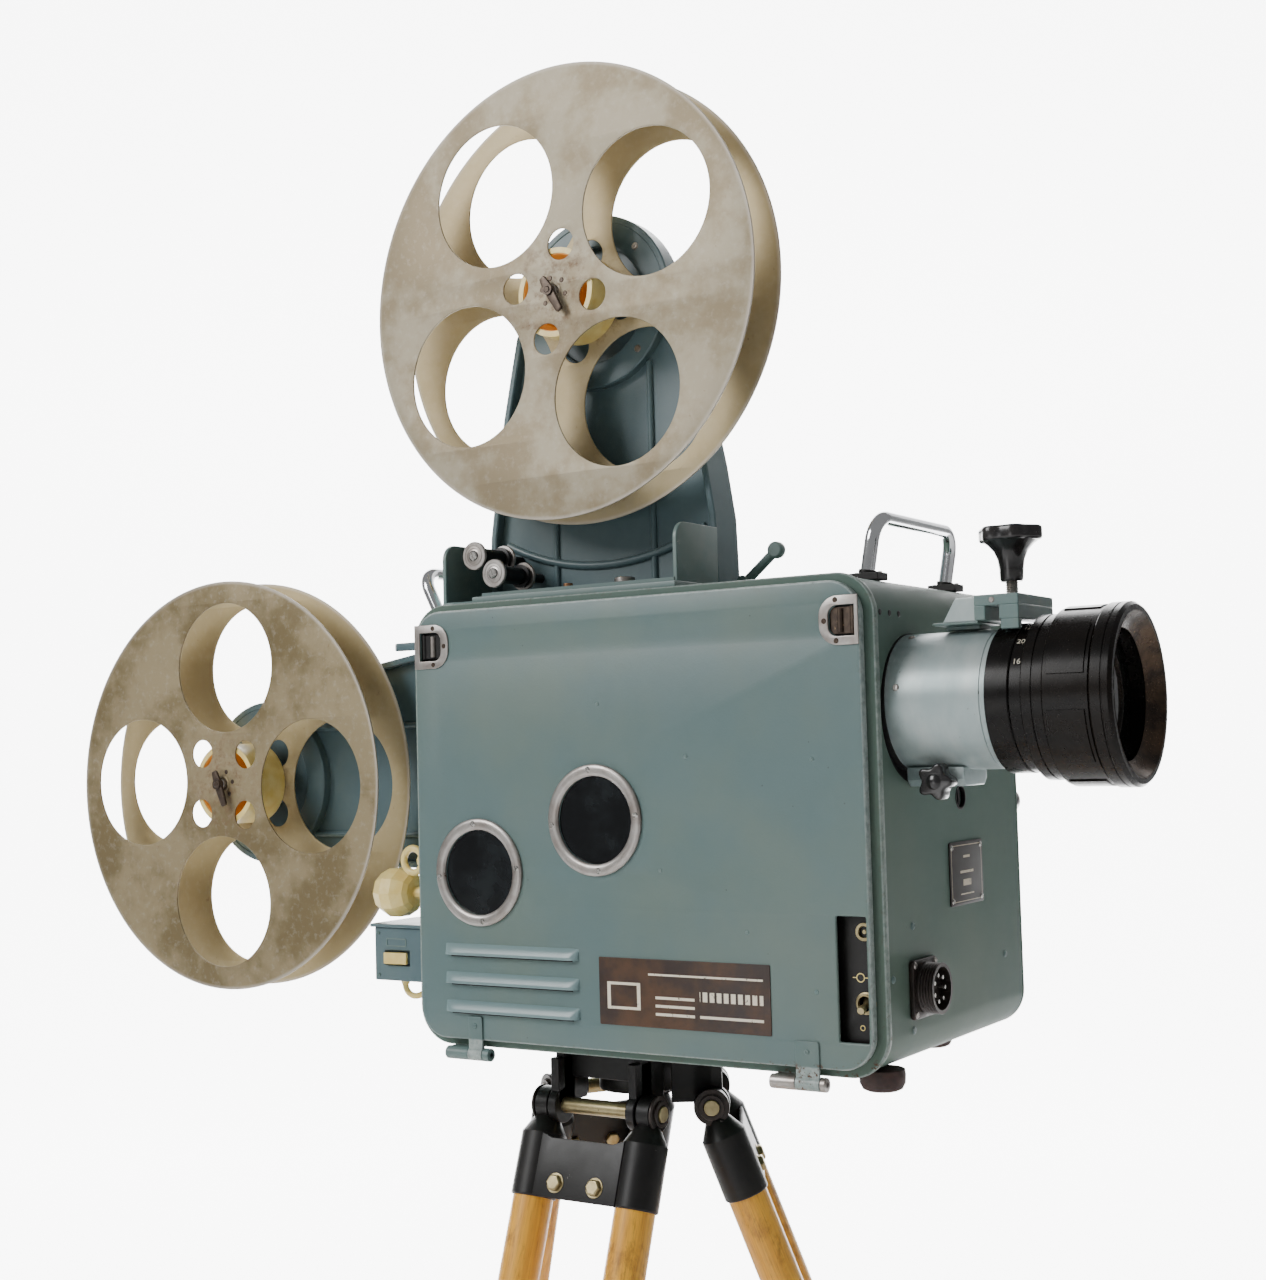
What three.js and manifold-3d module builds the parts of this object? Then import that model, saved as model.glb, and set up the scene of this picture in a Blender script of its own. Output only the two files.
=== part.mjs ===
// Portable 35 mm film projector on a wooden tripod: case with hinged door, two reel arms with reels,
// lens holder with a wide-screen attachment, and a three-legged stand.
// Frame of the drawing: X along the projection axis, Y away from the door, Z up, millimetres; the case sits
// round x = 0, y = 0 with its bottom at z = 0. The exported group is shifted so that the middle of the
// bottom of the whole object is its origin.
import * as THREE from "three";
import { mergeVertices } from "three/addons/utils/BufferGeometryUtils.js";
import Module from "manifold-3d";

const wasm = await Module();
wasm.setup();

// ---------------------------------------------------------------- driving dimensions
const GAP = 0.3;
const CASE = { x0: -212.8, x1: 204.8, y0: -130, y1: 139, z0: -1.6, z1: 353.6, corner: 29, wall: 4, lip: 1.4 };
const DOOR = { x0: -207, x1: 199, y0: -138.5, y1: -131, z0: 3, z1: 349.5, corner: 25, sheet: 3, rim: 3.5 };
const PORTS = { rear: [-144.3, 136.9], front: [-30.8, 178.7], ring: 43, glass: 33.5 };
const LATCHES = { rear: [-190, 320.7], front: [185.2, 320.2], width: 22, height: 22.6 };
const LOUVRES = { x0: -180, x1: -49, bottoms: [25.5, 48.3, 71], height: 8, depth: 4.2 };
const PANEL = { x0: 173, x1: 196, z0: 23, z1: 111 };
const TOGGLE = [190.4, 49.7];
const HINGES = { y: -137.2, z: -8.2, pin: 2.6, barrel: 5.2, leaf: 1.6 };
const PLATE = { y0: -36, y1: -31 };
const LENS = { y: -65, z: 261.5, hole: 55, holeAt: [-65.5, 257.2], tube: 50, bore: 46, end: 281 };
const REEL = { radius: 190, front: -86, rear: -41.2, sheet: 1.6, core: 37.5, hole: 60.5, pitch: 109 };
const REEL_SMALL = { hole: 13, pitch: 39.5 };
const UPPER_REEL = { x: -95, z: 613, turn: 33 };
const LOWER_REEL = { x: -485.5, z: 209.6, turn: -1.5 };
const ARM = { front: -28, back: 8, tip: -12, round: 77, lip: 6, web: 10, webThick: 5, boss: 72 };
const ARM_EDGE = [[17, 82], [52, 90], [88, 98], [147, 108], [192, 115], [258, 117]];
const TRAY = { y0: -93, y1: -28.5, floor: 354, top: 411 };
const ROLLERS = { upper: [-184, 399.7], lower: [-163.4, 383.3], disc: 12, body: 7.5 };
const HANDLE = { rod: 5.5, near: -64, far: 82 };
const SPROCKETS = { feed: [18, 312, 17], intermittent: [34, 196, 13], holdback: [-34, 172, 17] };
const STAND = { x: -86, y: 0, pinZ: -59, pinR: 61, tilt: 20.5, floor: -980, spacing: 49.5, pole: 16.5 };
const LEG_TURNS = [-90, 30, 150];
const BBOX_MIDDLE = { x: -150.6, y: -84.32 };

// ---------------------------------------------------------------- solids
const toSolid = (geometry) => {
  const bare = geometry.index ? geometry.toNonIndexed() : geometry.clone();
  for (const name of Object.keys(bare.attributes)) {
    if (name !== "position") bare.deleteAttribute(name);
  }
  const merged = mergeVertices(bare, 1e-4);
  return new wasm.Manifold(
    new wasm.Mesh({
      numProp: 3,
      vertProperties: new Float32Array(merged.attributes.position.array),
      triVerts: new Uint32Array(merged.index.array),
    }),
  );
};

const toGeometry = (solid) => {
  const mesh = solid.getMesh();
  const geometry = new THREE.BufferGeometry();
  geometry.setAttribute("position", new THREE.BufferAttribute(new Float32Array(mesh.vertProperties), 3));
  geometry.setIndex(new THREE.BufferAttribute(new Uint32Array(mesh.triVerts), 1));
  return geometry;
};

const join = (...solids) => solids.reduce((a, b) => a.add(b));
const cut = (solid, ...tools) => tools.reduce((a, b) => a.subtract(b), solid);
const rad = (degrees) => THREE.MathUtils.degToRad(degrees);

// A box between two corners.
const box = (x0, x1, y0, y1, z0, z1) => {
  const geometry = new THREE.BoxGeometry(x1 - x0, y1 - y0, z1 - z0);
  geometry.translate((x0 + x1) / 2, (y0 + y1) / 2, (z0 + z1) / 2);
  return toSolid(geometry);
};

// Turns a solid drawn along +Z so that it runs along +X, +Y or +Z, then moves it.
const along = (geometry, axis, x = 0, y = 0, z = 0) => {
  if (axis === "x") geometry.rotateY(Math.PI / 2);
  if (axis === "y") geometry.rotateX(-Math.PI / 2);
  geometry.translate(x, y, z);
  return geometry;
};

// A solid of revolution round an axis: profile pairs are [radius, distance along the axis].
const turned = (profile, axis, [x, y, z] = [0, 0, 0], sides = 32) => {
  const points = profile.map(([r, h]) => new THREE.Vector2(Math.max(r, 0), h));
  const geometry = new THREE.LatheGeometry(points, sides);
  geometry.rotateX(Math.PI / 2);
  const made = toSolid(along(geometry, axis, x, y, z));
  return made.volume() < 0 ? toSolid(flipped(geometry)) : made;
};

const flipped = (geometry) => {
  const turnedRound = geometry.clone();
  const index = turnedRound.index.array;
  for (let i = 0; i < index.length; i += 3) {
    [index[i + 1], index[i + 2]] = [index[i + 2], index[i + 1]];
  }
  return turnedRound;
};

// A rod between two distances along an axis through [a, b], the two other coordinates in order.
const rod = (radius, axis, from, to, [a, b], sides = 24) => {
  const centre = { x: [0, a, b], y: [a, 0, b], z: [a, b, 0] }[axis];
  return turned([[0, from], [radius, from], [radius, to], [0, to]], axis, centre, sides);
};

const pipe = (outer, inner, axis, from, to, at, sides = 32) =>
  cut(rod(outer, axis, from, to, at, sides), rod(inner, axis, from - 1, to + 1, at, sides));

const roundedRect = (x0, x1, z0, z1, r) => {
  const shape = new THREE.Shape();
  shape.moveTo(x0 + r, z0);
  shape.lineTo(x1 - r, z0);
  shape.absarc(x1 - r, z0 + r, r, -Math.PI / 2, 0, false);
  shape.lineTo(x1, z1 - r);
  shape.absarc(x1 - r, z1 - r, r, 0, Math.PI / 2, false);
  shape.lineTo(x0 + r, z1);
  shape.absarc(x0 + r, z1 - r, r, Math.PI / 2, Math.PI, false);
  shape.lineTo(x0, z0 + r);
  shape.absarc(x0 + r, z0 + r, r, Math.PI, Math.PI * 1.5, false);
  return shape;
};

// Extrudes a shape drawn in XZ along Y, from y0 to y1.
const slab = (shape, y0, y1, curveSegments = 3) => {
  const geometry = new THREE.ExtrudeGeometry(shape, { depth: y1 - y0, bevelEnabled: false, curveSegments });
  geometry.rotateX(Math.PI / 2);
  geometry.translate(0, y1, 0);
  return toSolid(geometry);
};

// Extrudes a shape drawn in XY along Z, from z0 to z1.
const layer = (shape, z0, z1, curveSegments = 3) => {
  const geometry = new THREE.ExtrudeGeometry(shape, { depth: z1 - z0, bevelEnabled: false, curveSegments });
  geometry.translate(0, 0, z0);
  return toSolid(geometry);
};

const polygon = (points) => new THREE.Shape(points.map(([x, y]) => new THREE.Vector2(x, y)));

// A round rod swept through points, closed at both ends.
const swept = (points, radius, sides = 10) => {
  const path = points.map((p) => new THREE.Vector3(...p));
  const tangents = path.map((p, i) => {
    const before = path[Math.max(i - 1, 0)];
    const after = path[Math.min(i + 1, path.length - 1)];
    return after.clone().sub(before).normalize();
  });
  const normal = new THREE.Vector3(0.31, 0.77, 0.56).cross(tangents[0]).normalize();
  const vertices = [];
  path.forEach((p, i) => {
    normal.addScaledVector(tangents[i], -normal.dot(tangents[i])).normalize();
    const side = tangents[i].clone().cross(normal);
    for (let k = 0; k < sides; k += 1) {
      const angle = (k / sides) * 2 * Math.PI;
      const v = p.clone();
      v.addScaledVector(normal, radius * Math.cos(angle));
      v.addScaledVector(side, radius * Math.sin(angle));
      vertices.push(...v.toArray());
    }
  });
  vertices.push(...path[0].toArray(), ...path[path.length - 1].toArray());
  const first = path.length * sides;
  const index = [];
  for (let i = 0; i < path.length - 1; i += 1) {
    for (let k = 0; k < sides; k += 1) {
      const a = i * sides + k;
      const b = i * sides + ((k + 1) % sides);
      index.push(a, b, a + sides, b, b + sides, a + sides);
    }
  }
  for (let k = 0; k < sides; k += 1) {
    const next = (k + 1) % sides;
    const last = (path.length - 1) * sides;
    index.push(first, next, k, first + 1, last + k, last + next);
  }
  const geometry = new THREE.BufferGeometry();
  geometry.setAttribute("position", new THREE.Float32BufferAttribute(vertices, 3));
  geometry.setIndex(index);
  return toSolid(geometry);
};

// ---------------------------------------------------------------- nodes
const PALETTE = {
  enamel: [0x7c9294, 0.1, 0.45],
  darkEnamel: [0x46595c, 0.1, 0.5],
  tin: [0xa8a195, 0.8, 0.45],
  ivory: [0xe6dcae, 0, 0.5],
  chrome: [0xd8dadb, 1, 0.12],
  steel: [0xa9abac, 0.9, 0.35],
  black: [0x1c1c1e, 0, 0.5],
  anodised: [0x2a2420, 0.5, 0.35],
  silver: [0xc8ced0, 0.6, 0.3],
  glass: [0x1b2226, 0, 0.05],
  brass: [0xb08a4a, 0.9, 0.35],
  wood: [0xb87f35, 0, 0.6],
  rubber: [0x4a3128, 0, 0.8],
};

const root = new THREE.Group();
root.name = "film_projector";
root.position.set(-BBOX_MIDDLE.x, -BBOX_MIDDLE.y, -STAND.floor);

const add = (parent, name, solid, finish) => {
  const [color, metalness, roughness] = PALETTE[finish];
  const material = new THREE.MeshStandardMaterial({ color, metalness, roughness, flatShading: true });
  const mesh = new THREE.Mesh(toGeometry(solid), material);
  mesh.name = name;
  parent.add(mesh);
  return mesh;
};

const group = (parent, x = 0, y = 0, z = 0) => {
  const made = new THREE.Group();
  made.position.set(x, y, z);
  parent.add(made);
  return made;
};

// ---------------------------------------------------------------- case
const caseOutline = (grow, corner = CASE.corner) =>
  roundedRect(CASE.x0 - grow, CASE.x1 + grow, CASE.z0 - grow, CASE.z1 + grow, corner + grow);

const buildCase = (parent) => {
  const body = join(
    slab(caseOutline(0), CASE.y0 + 9, 134),
    slab(caseOutline(CASE.lip), CASE.y0, CASE.y0 + 9.2),
  );
  const shell = cut(
    body,
    slab(caseOutline(-CASE.wall, CASE.corner), CASE.y0 - 1, 140),
    rod(LENS.hole, "x", 190, 220, LENS.holeAt, 32),
    rod(9, "x", 190, 220, [18, 189], 16),
    box(-199, -175, -88, -40, 320, 360),
    box(-220, -205, -88, -40, 222, 240),
  );
  add(parent, "case_shell", shell, "enamel");

  const cover = slab(caseOutline(0), 134 + GAP, CASE.y1);
  add(parent, "drive_side_cover", cover, "enamel");

  const footProfile = [[0, -17.4], [14, -17.4], [17, -14], [17, -2], [0, -2]];
  add(parent, "foot_near", turned(footProfile, "z", [183, -92, 0], 20), "rubber");
  add(parent, "foot_far", turned(footProfile, "z", [140, 95, 0], 20), "rubber");

  const hinge = (x0, leaf0, leaf1, x1) => {
    const pin = rod(HINGES.pin, "x", x0, x1, [HINGES.y, HINGES.z], 10);
    const left = rod(HINGES.barrel, "x", x0, leaf0 - GAP, [HINGES.y, HINGES.z], 14);
    const right = rod(HINGES.barrel, "x", leaf1 + GAP, x1, [HINGES.y, HINGES.z], 14);
    const tab = box(x0, leaf0 - GAP, HINGES.y, -118, -7.2, -3.3);
    return join(pin, left, right, tab);
  };
  add(parent, "rear_hinge", hinge(-180.4, -157.6, -143.9, -137), "enamel");
  add(parent, "front_hinge", hinge(117, 138, 157, 161.6), "steel");
};

// ---------------------------------------------------------------- door
const buildDoor = (parent) => {
  const edge = (grow) =>
    roundedRect(DOOR.x0 - grow, DOOR.x1 + grow, DOOR.z0 - grow, DOOR.z1 + grow, DOOR.corner + grow);
  let door = slab(edge(0), DOOR.y0, DOOR.y1);
  door = cut(door, slab(edge(-DOOR.rim), DOOR.y0 + DOOR.sheet, DOOR.y1 + 1));
  for (const [x, z] of [PORTS.rear, PORTS.front]) {
    door = cut(door, rod(PORTS.glass + 0.6, "y", -150, -120, [x, z], 24));
  }
  for (const [x, z] of [LATCHES.rear, LATCHES.front]) {
    const w = LATCHES.width / 2;
    const h = LATCHES.height / 2;
    door = cut(door, box(x - w, x + w, -150, DOOR.y0 + DOOR.sheet + 0.2, z - h, z + h));
  }
  door = cut(door, box(PANEL.x0, PANEL.x1, -150, -120, PANEL.z0, PANEL.z1));
  for (const z of LOUVRES.bottoms) {
    const hood = polygon([[0, z], [-LOUVRES.depth, z], [-LOUVRES.depth, z + 1.5], [0, z + LOUVRES.height]]);
    const geometry = new THREE.ExtrudeGeometry(hood, { depth: LOUVRES.x1 - LOUVRES.x0, bevelEnabled: false });
    // The hood is drawn with its first axis along Y and its second along Z, then swept along X.
    geometry.applyMatrix4(
      new THREE.Matrix4().makeBasis(
        new THREE.Vector3(0, 1, 0),
        new THREE.Vector3(0, 0, 1),
        new THREE.Vector3(1, 0, 0),
      ),
    );
    geometry.translate(LOUVRES.x0, DOOR.y0 + 0.05, 0);
    door = join(door, toSolid(geometry));
  }
  for (const [x0, x1] of [[-157.6, -143.9], [138, 157]]) {
    const leaf = box(x0, x1, DOOR.y0 - HINGES.leaf, DOOR.y0 + 0.1, HINGES.z, 22);
    const bridge = box(x0, x1, DOOR.y0 - HINGES.leaf, HINGES.y - HINGES.pin, HINGES.z - 3, 4);
    const knuckle = rod(HINGES.barrel, "x", x0, x1, [HINGES.y, HINGES.z], 14);
    const bore = rod(HINGES.pin + GAP, "x", x0 - 1, x1 + 1, [HINGES.y, HINGES.z], 10);
    door = cut(join(door, leaf, bridge, knuckle), bore);
  }
  add(parent, "door_panel", door, "enamel");

  for (const [side, [x, z]] of [["rear", PORTS.rear], ["front", PORTS.front]]) {
    const ring = turned(
      [[33, -141.6], [41.5, -141.6], [PORTS.ring, -140.4], [PORTS.ring, -138.8], [33, -138.8], [33, -141.6]],
      "y",
      [x, 0, z],
      24,
    );
    add(parent, `porthole_ring_${side}`, ring, "steel");
    add(parent, `porthole_glass_${side}`, rod(PORTS.glass, "y", -138.4, -135.6, [x, z], 24), "glass");
  }

  for (const [side, [x, z], sign] of [["rear", LATCHES.rear, 1], ["front", LATCHES.front, -1]]) {
    const hingeX = x - sign * 8;
    const flap = box(x - 9.4, x + 9.4, -137.2, -135.4, z - 10, z + 10);
    const barrel = rod(2, "z", z - 10, z + 10, [hingeX, -136.3], 10);
    add(parent, `${side}_latch`, join(flap, barrel), "steel");
  }
};

// ---------------------------------------------------------------- inside the film compartment
const sprocket = ([x, z, r]) =>
  turned(
    [[0, -84], [r + 2.5, -84], [r + 2.5, -80], [r, -80], [r, -49], [r + 2.5, -49], [r + 2.5, -45], [6, -45], [6, -36.4],
      [0, -36.4]],
    "y",
    [x, 0, z],
    14,
  );

const buildMechanism = (parent) => {
  const outline = roundedRect(-205, 178, 6, 346, 20);
  const plate = cut(slab(outline, PLATE.y0, PLATE.y1), rod(8, "y", -50, -10, [-80, 60], 16));
  add(parent, "mechanism_plate", plate, "darkEnamel");

  const house = cut(
    box(-152, -50, -112, PLATE.y0 - GAP, 206, 330),
    box(-149, -53, -109, -40, 209, 327),
    rod(18, "x", -60, -40, [LENS.y, LENS.z], 24),
    box(-130, -72, -100, -50, 320, 335),
  );
  add(parent, "lamp_house", house, "black");

  const gate = cut(
    join(box(44, 60, -88, PLATE.y0 - GAP, 224, 300), box(36, 44.1, -60, PLATE.y0 - GAP, 226, 234)),
    box(30, 70, -76, -54, 252, 271),
  );
  add(parent, "film_gate", gate, "steel");

  for (const [name, at] of Object.entries(SPROCKETS)) add(parent, `${name}_sprocket`, sprocket(at), "steel");
};

// ---------------------------------------------------------------- lens
const starShape = (outer, inner, lobes, steps) => {
  const points = [];
  for (let i = 0; i < lobes * steps; i += 1) {
    const angle = (i / (lobes * steps)) * 2 * Math.PI;
    const r = (outer + inner) / 2 + ((outer - inner) / 2) * Math.cos(lobes * angle);
    points.push([r * Math.cos(angle), r * Math.sin(angle)]);
  }
  return polygon(points);
};

const buildLens = (parent) => {
  const at = [0, LENS.y, LENS.z];
  const tube = turned(
    [[22, 76], [26, 76], [26, 188], [LENS.tube, 188], [LENS.tube, LENS.end], [LENS.bore, LENS.end],
      [LENS.bore, 193], [22, 193], [22, 76]],
    "x",
    at,
    32,
  );
  const lug = cut(box(208, 252, -86.6, -43.4, 200, 225), rod(48, "x", 200, 260, [LENS.y, LENS.z], 32));
  const saddle = cut(
    box(104, 150, -62, PLATE.y0 - GAP, 247, 276),
    rod(24, "x", 100, 160, [LENS.y, LENS.z], 24),
  );
  add(parent, "lens_holder", join(tube, lug, saddle), "silver");

  const yoke = cut(
    box(268.5, 301.5, -98, -28, 316.6, 334.5),
    box(277, 287, -110, -20, 310, 326.5),
  );
  const wedge = toSolid(
    new THREE.ExtrudeGeometry(polygon([[242, 316.6], [269, 316.6], [269, 334], [250, 334]]), {
      depth: 42,
      bevelEnabled: false,
    }).applyMatrix4(
      new THREE.Matrix4().makeBasis(
        new THREE.Vector3(1, 0, 0),
        new THREE.Vector3(0, 0, 1),
        new THREE.Vector3(0, -1, 0),
      ),
    ).translate(0, -50, 0),
  );
  const base = box(234, 269, -92, -50, 314.9, 316.7);
  const seat = box(238, 264, -76, -54, LENS.z + LENS.tube + GAP, 315);
  const post = box(288, 301.5, -98, -91.4, 309.6, 317);
  add(parent, "attachment_bracket", join(yoke, wedge, base, seat, post), "enamel");

  const knobAt = [285, LENS.y, 0];
  const stem = turned(
    [[0, 334.9], [4.5, 334.9], [4.5, 345], [8, 345], [9.6, 362], [13, 369], [20, 374.5], [0, 374.5]],
    "z",
    knobAt,
    20,
  );
  const head = layer(starShape(23.5, 20.5, 6, 6), 374, 385);
  add(parent, "clamp_knob", join(stem, head.translate([285, LENS.y, 0])), "black");

  const star = layer(starShape(13.6, 9.6, 5, 5), 0, 14)
    .rotate([90, 0, 0])
    .translate([236, -90, 204]);
  add(parent, "focus_knob", join(star, rod(3.5, "y", -92, -87, [236, 204], 10)), "black");

  const barrel = turned(
    [[41, 262], [45.6, 262], [45.6, 281.3], [53.2, 281.3], [53.2, 298.6], [52.4, 299.2], [52.4, 308.6],
      [58.4, 309.2], [58.4, 325], [55.8, 325.2], [55.8, 358.6], [64, 358.7], [64, 372], [61.5, 374.3],
      [57.5, 374.3], [51, 363], [46.4, 362.9], [46.4, 349], [41, 348.9], [41, 262]],
    "x",
    at,
    28,
  );
  add(parent, "attachment_barrel", barrel, "anodised");

  let ring = pipe(63.2, 56.4, "x", 325.5, 358.3, [LENS.y, LENS.z], 30);
  for (let k = 0; k < 6; k += 1) {
    const flat = new THREE.BoxGeometry(26, 10, 24);
    flat.translate(341, 0, 67.2);
    flat.rotateX(rad(28 + 60 * k));
    flat.translate(0, LENS.y, LENS.z);
    ring = cut(ring, toSolid(flat));
  }
  add(parent, "focus_ring", ring, "anodised");

  const glass = turned([[0, 350], [46, 350], [46, 353], [30, 356.2], [0, 357.6]], "x", at, 24);
  add(parent, "attachment_glass", glass, "glass");
};

// ---------------------------------------------------------------- front face, panel and rear fittings
const buildFittings = (parent) => {
  const socket = join(
    box(205.1, 209, -89, -46, 32.8, 75.2),
    cut(rod(18.5, "x", 208.8, 221.5, [-67.5, 54], 22), rod(15.6, "x", 213, 230, [-67.5, 54], 22)),
  );
  add(parent, "connector", socket, "anodised");

  const panel = cut(
    box(169, 199.5, -129.4, -127.2, 20, 114),
    rod(5.2, "y", -140, -120, TOGGLE, 14),
  );
  add(parent, "switch_panel", panel, "black");

  const lever = turned(
    [[0, -4.4], [3.2, -3.2], [4.4, 0], [2.4, 4], [2.4, 9], [3.2, 12.5], [2.2, 14.6], [0, 15]],
    "z",
    [0, 0, 0],
    12,
  );
  add(
    parent,
    "toggle_lever",
    lever.rotate([106, 0, 0]).translate([TOGGLE[0], -125.6, TOGGLE[1]]),
    "steel",
  );

  const boxBody = join(
    cut(box(-283, -213.2, -108, -50, 41, 86), box(-272, -245, -109, -101, 54, 66.5)),
    box(-286, -213.2, -111, -47, 85.9, 89),
  );
  add(parent, "rear_switch_box", boxBody, "darkEnamel");
  const rocker = join(box(-270.4, -246.6, -112, -107.6, 55.4, 65.1), box(-261.5, -255.5, -107.7, -101.6, 56, 64.5));
  add(parent, "rocker_switch", rocker, "ivory");
  const lead = [
    [-263, -92, 40.6], [-263, -92, 35], [-260.5, -92, 30], [-255, -92, 27], [-248, -92, 27.5],
    [-241, -92, 31], [-233, -92, 34], [-224, -92, 35], [-213.3, -92, 35],
  ];
  add(parent, "box_lead", swept(lead, 2.6, 8), "ivory");

  const knob = turned(
    [[0, -288], [9, -287], [17, -281], [21.5, -271], [21.5, -260], [16.5, -250], [12.5, -247], [5, -246.9],
      [5, -213.2], [0, -213.2]],
    "x",
    [0, -95, 115],
    10,
  );
  add(parent, "inching_knob", knob, "ivory");

  const loop = [];
  for (let k = 0; k <= 12; k += 1) {
    const angle = rad(-28 + (k / 12) * -304);
    loop.push([-241 + 10.2 * Math.cos(angle), -105, 143 + 10.2 * Math.sin(angle)]);
  }
  const ringLever = join(
    swept(loop, 3, 6),
    rod(3, "x", -233.5, -213.2, [-105, 143], 10),
    rod(5.5, "x", -234.5, -229, [-105, 143], 12),
  );
  add(parent, "framing_lever", ringLever, "ivory");

  const outline = [[-304, -40], [-309, -44], [-304, -48]];
  for (let k = 0; k <= 6; k += 1) {
    const angle = rad(-90 + 30 * k);
    outline.push([-220 + 6 * Math.cos(angle), -44 + 6 * Math.sin(angle)]);
  }
  const tongue = polygon(outline);
  add(parent, "arm_release_lever", layer(tongue, 326, 333), "darkEnamel");
};

// ---------------------------------------------------------------- carrying handles
// A bow of round rod on two pads: foot, height and lean are given in the XZ plane, the feet lie along Y.
const bow = (foot, direction, height) => {
  const lean = new THREE.Vector2(...direction).normalize();
  const at = (y, h) => [foot[0] + lean.x * h, y, foot[1] + lean.y * h];
  const bend = 19;
  const points = [at(HANDLE.near, 0)];
  for (let k = 0; k <= 5; k += 1) {
    const a = (k / 5) * (Math.PI / 2);
    points.push(at(HANDLE.near + bend * (1 - Math.cos(a)), height - bend + bend * Math.sin(a)));
  }
  for (let k = 5; k >= 0; k -= 1) {
    const a = (k / 5) * (Math.PI / 2);
    points.push(at(HANDLE.far - bend * (1 - Math.cos(a)), height - bend + bend * Math.sin(a)));
  }
  points.push(at(HANDLE.far, 0));
  return swept(points, HANDLE.rod, 10);
};

const buildHandles = (parent) => {
  const topPad = (y) => box(160, 184, y - 9, y + 9, CASE.z1 + GAP, CASE.z1 + 6);
  const front = join(bow([171, 357], [8, 44], 46), topPad(HANDLE.near), topPad(HANDLE.far));
  add(parent, "front_handle", front, "chrome");
  const rearPad = (y) => box(CASE.x0 - 6, CASE.x0 - GAP, y - 9, y + 9, 300, 324);
  const rear = join(bow([-219.6, 314], [-40, 79], 88), rearPad(HANDLE.near), rearPad(HANDLE.far));
  add(parent, "rear_handle", rear, "chrome");
};

// ---------------------------------------------------------------- reel arms
// Arms are drawn with u from the spindle towards the foot, v across and w from the front lip backwards.
const armOutline = (edgeA, edgeB, grow) => {
  const points = [];
  const r = ARM.round + grow;
  for (const [u, v] of edgeA) points.push([u, v + grow]);
  points.reverse();
  for (let k = 0; k <= 16; k += 1) {
    const a = Math.PI / 2 + (k / 16) * Math.PI;
    points.push([r * Math.cos(a), r * Math.sin(a)]);
  }
  for (const [u, v] of edgeB) points.push([u, -v - grow]);
  return points;
};

const buildArm = (edgeA, edgeB, arcRib) => {
  const length = edgeA[edgeA.length - 1][0];
  const depth = ARM.back - ARM.front;
  const taper = toSolid(
    new THREE.ExtrudeGeometry(
      polygon([[-100, ARM.tip - ARM.front], [-77, ARM.tip - ARM.front], [130, depth], [130, depth + 20],
        [-100, depth + 20]]),
      { depth: 300, bevelEnabled: false },
    ).applyMatrix4(
      new THREE.Matrix4().makeBasis(
        new THREE.Vector3(1, 0, 0),
        new THREE.Vector3(0, 0, 1),
        new THREE.Vector3(0, -1, 0),
      ),
    ).translate(0, 150, 0),
  );
  const outer = cut(layer(polygon(armOutline(edgeA, edgeB, 0)), 0, depth), taper);
  const inner = armOutline(edgeA, edgeB, -ARM.lip).filter(([u]) => u < length - ARM.lip);
  const [uA, vA] = inner[0];
  const [uB, vB] = inner[inner.length - 1];
  inner.unshift([length - ARM.lip, vA + ((length - ARM.lip - uA) * 2) / 66]);
  inner.push([length - ARM.lip, vB - ((length - ARM.lip - uB) * 2) / 66]);
  const pocket = layer(polygon(inner), -1, ARM.web);
  const back = layer(polygon(inner), ARM.web + ARM.webThick, depth + 1);
  let arm = cut(outer, pocket, back);
  const ring = cut(
    rod(ARM.boss, "z", 1.4, ARM.web + 0.5, [0, 0], 32),
    rod(50, "z", 0, 20, [0, 0], 24),
  );
  const hub = rod(22, "z", -1.5, ARM.web + 0.5, [0, 0], 24);
  arm = join(arm, ring, hub);
  const inside = layer(polygon(armOutline(edgeA, edgeB, -1)), -1, depth + 2);
  for (const v of [-50, 50]) arm = join(arm, box(50, length - 2, v - 2.5, v + 2.5, 5, ARM.web + 0.5));
  if (arcRib) {
    const arc = cut(rod(226, "z", 5, ARM.web + 0.5, [0, 0], 64), rod(220, "z", 0, 20, [0, 0], 64));
    arm = join(arm, arc.intersect(inside));
  }
  return arm;
};

const placeArm = (parent, name, solid, x, z, u, v) => {
  const frame = new THREE.Matrix4().makeBasis(u, v, new THREE.Vector3(0, 1, 0));
  const mesh = add(parent, name, solid, "darkEnamel");
  mesh.geometry.applyMatrix4(frame);
  mesh.position.set(x, ARM.front, z);
};

const buildArms = (parent) => {
  const upper = buildArm(ARM_EDGE, ARM_EDGE, true);
  const down = new THREE.Vector3(0, 0, -1);
  const left = new THREE.Vector3(-1, 0, 0);
  placeArm(parent, "upper_arm", upper, UPPER_REEL.x, UPPER_REEL.z, down, left);
  const length = LOWER_REEL.x * -1 + CASE.x0 - GAP;
  const top = [...ARM_EDGE.slice(0, -1), [length, 119]];
  const bottom = [[60, 78.5], [length, 80]];
  const lower = buildArm(bottom, top, false);
  placeArm(parent, "lower_arm", lower, LOWER_REEL.x, LOWER_REEL.z, new THREE.Vector3(1, 0, 0), down);
};

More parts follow.
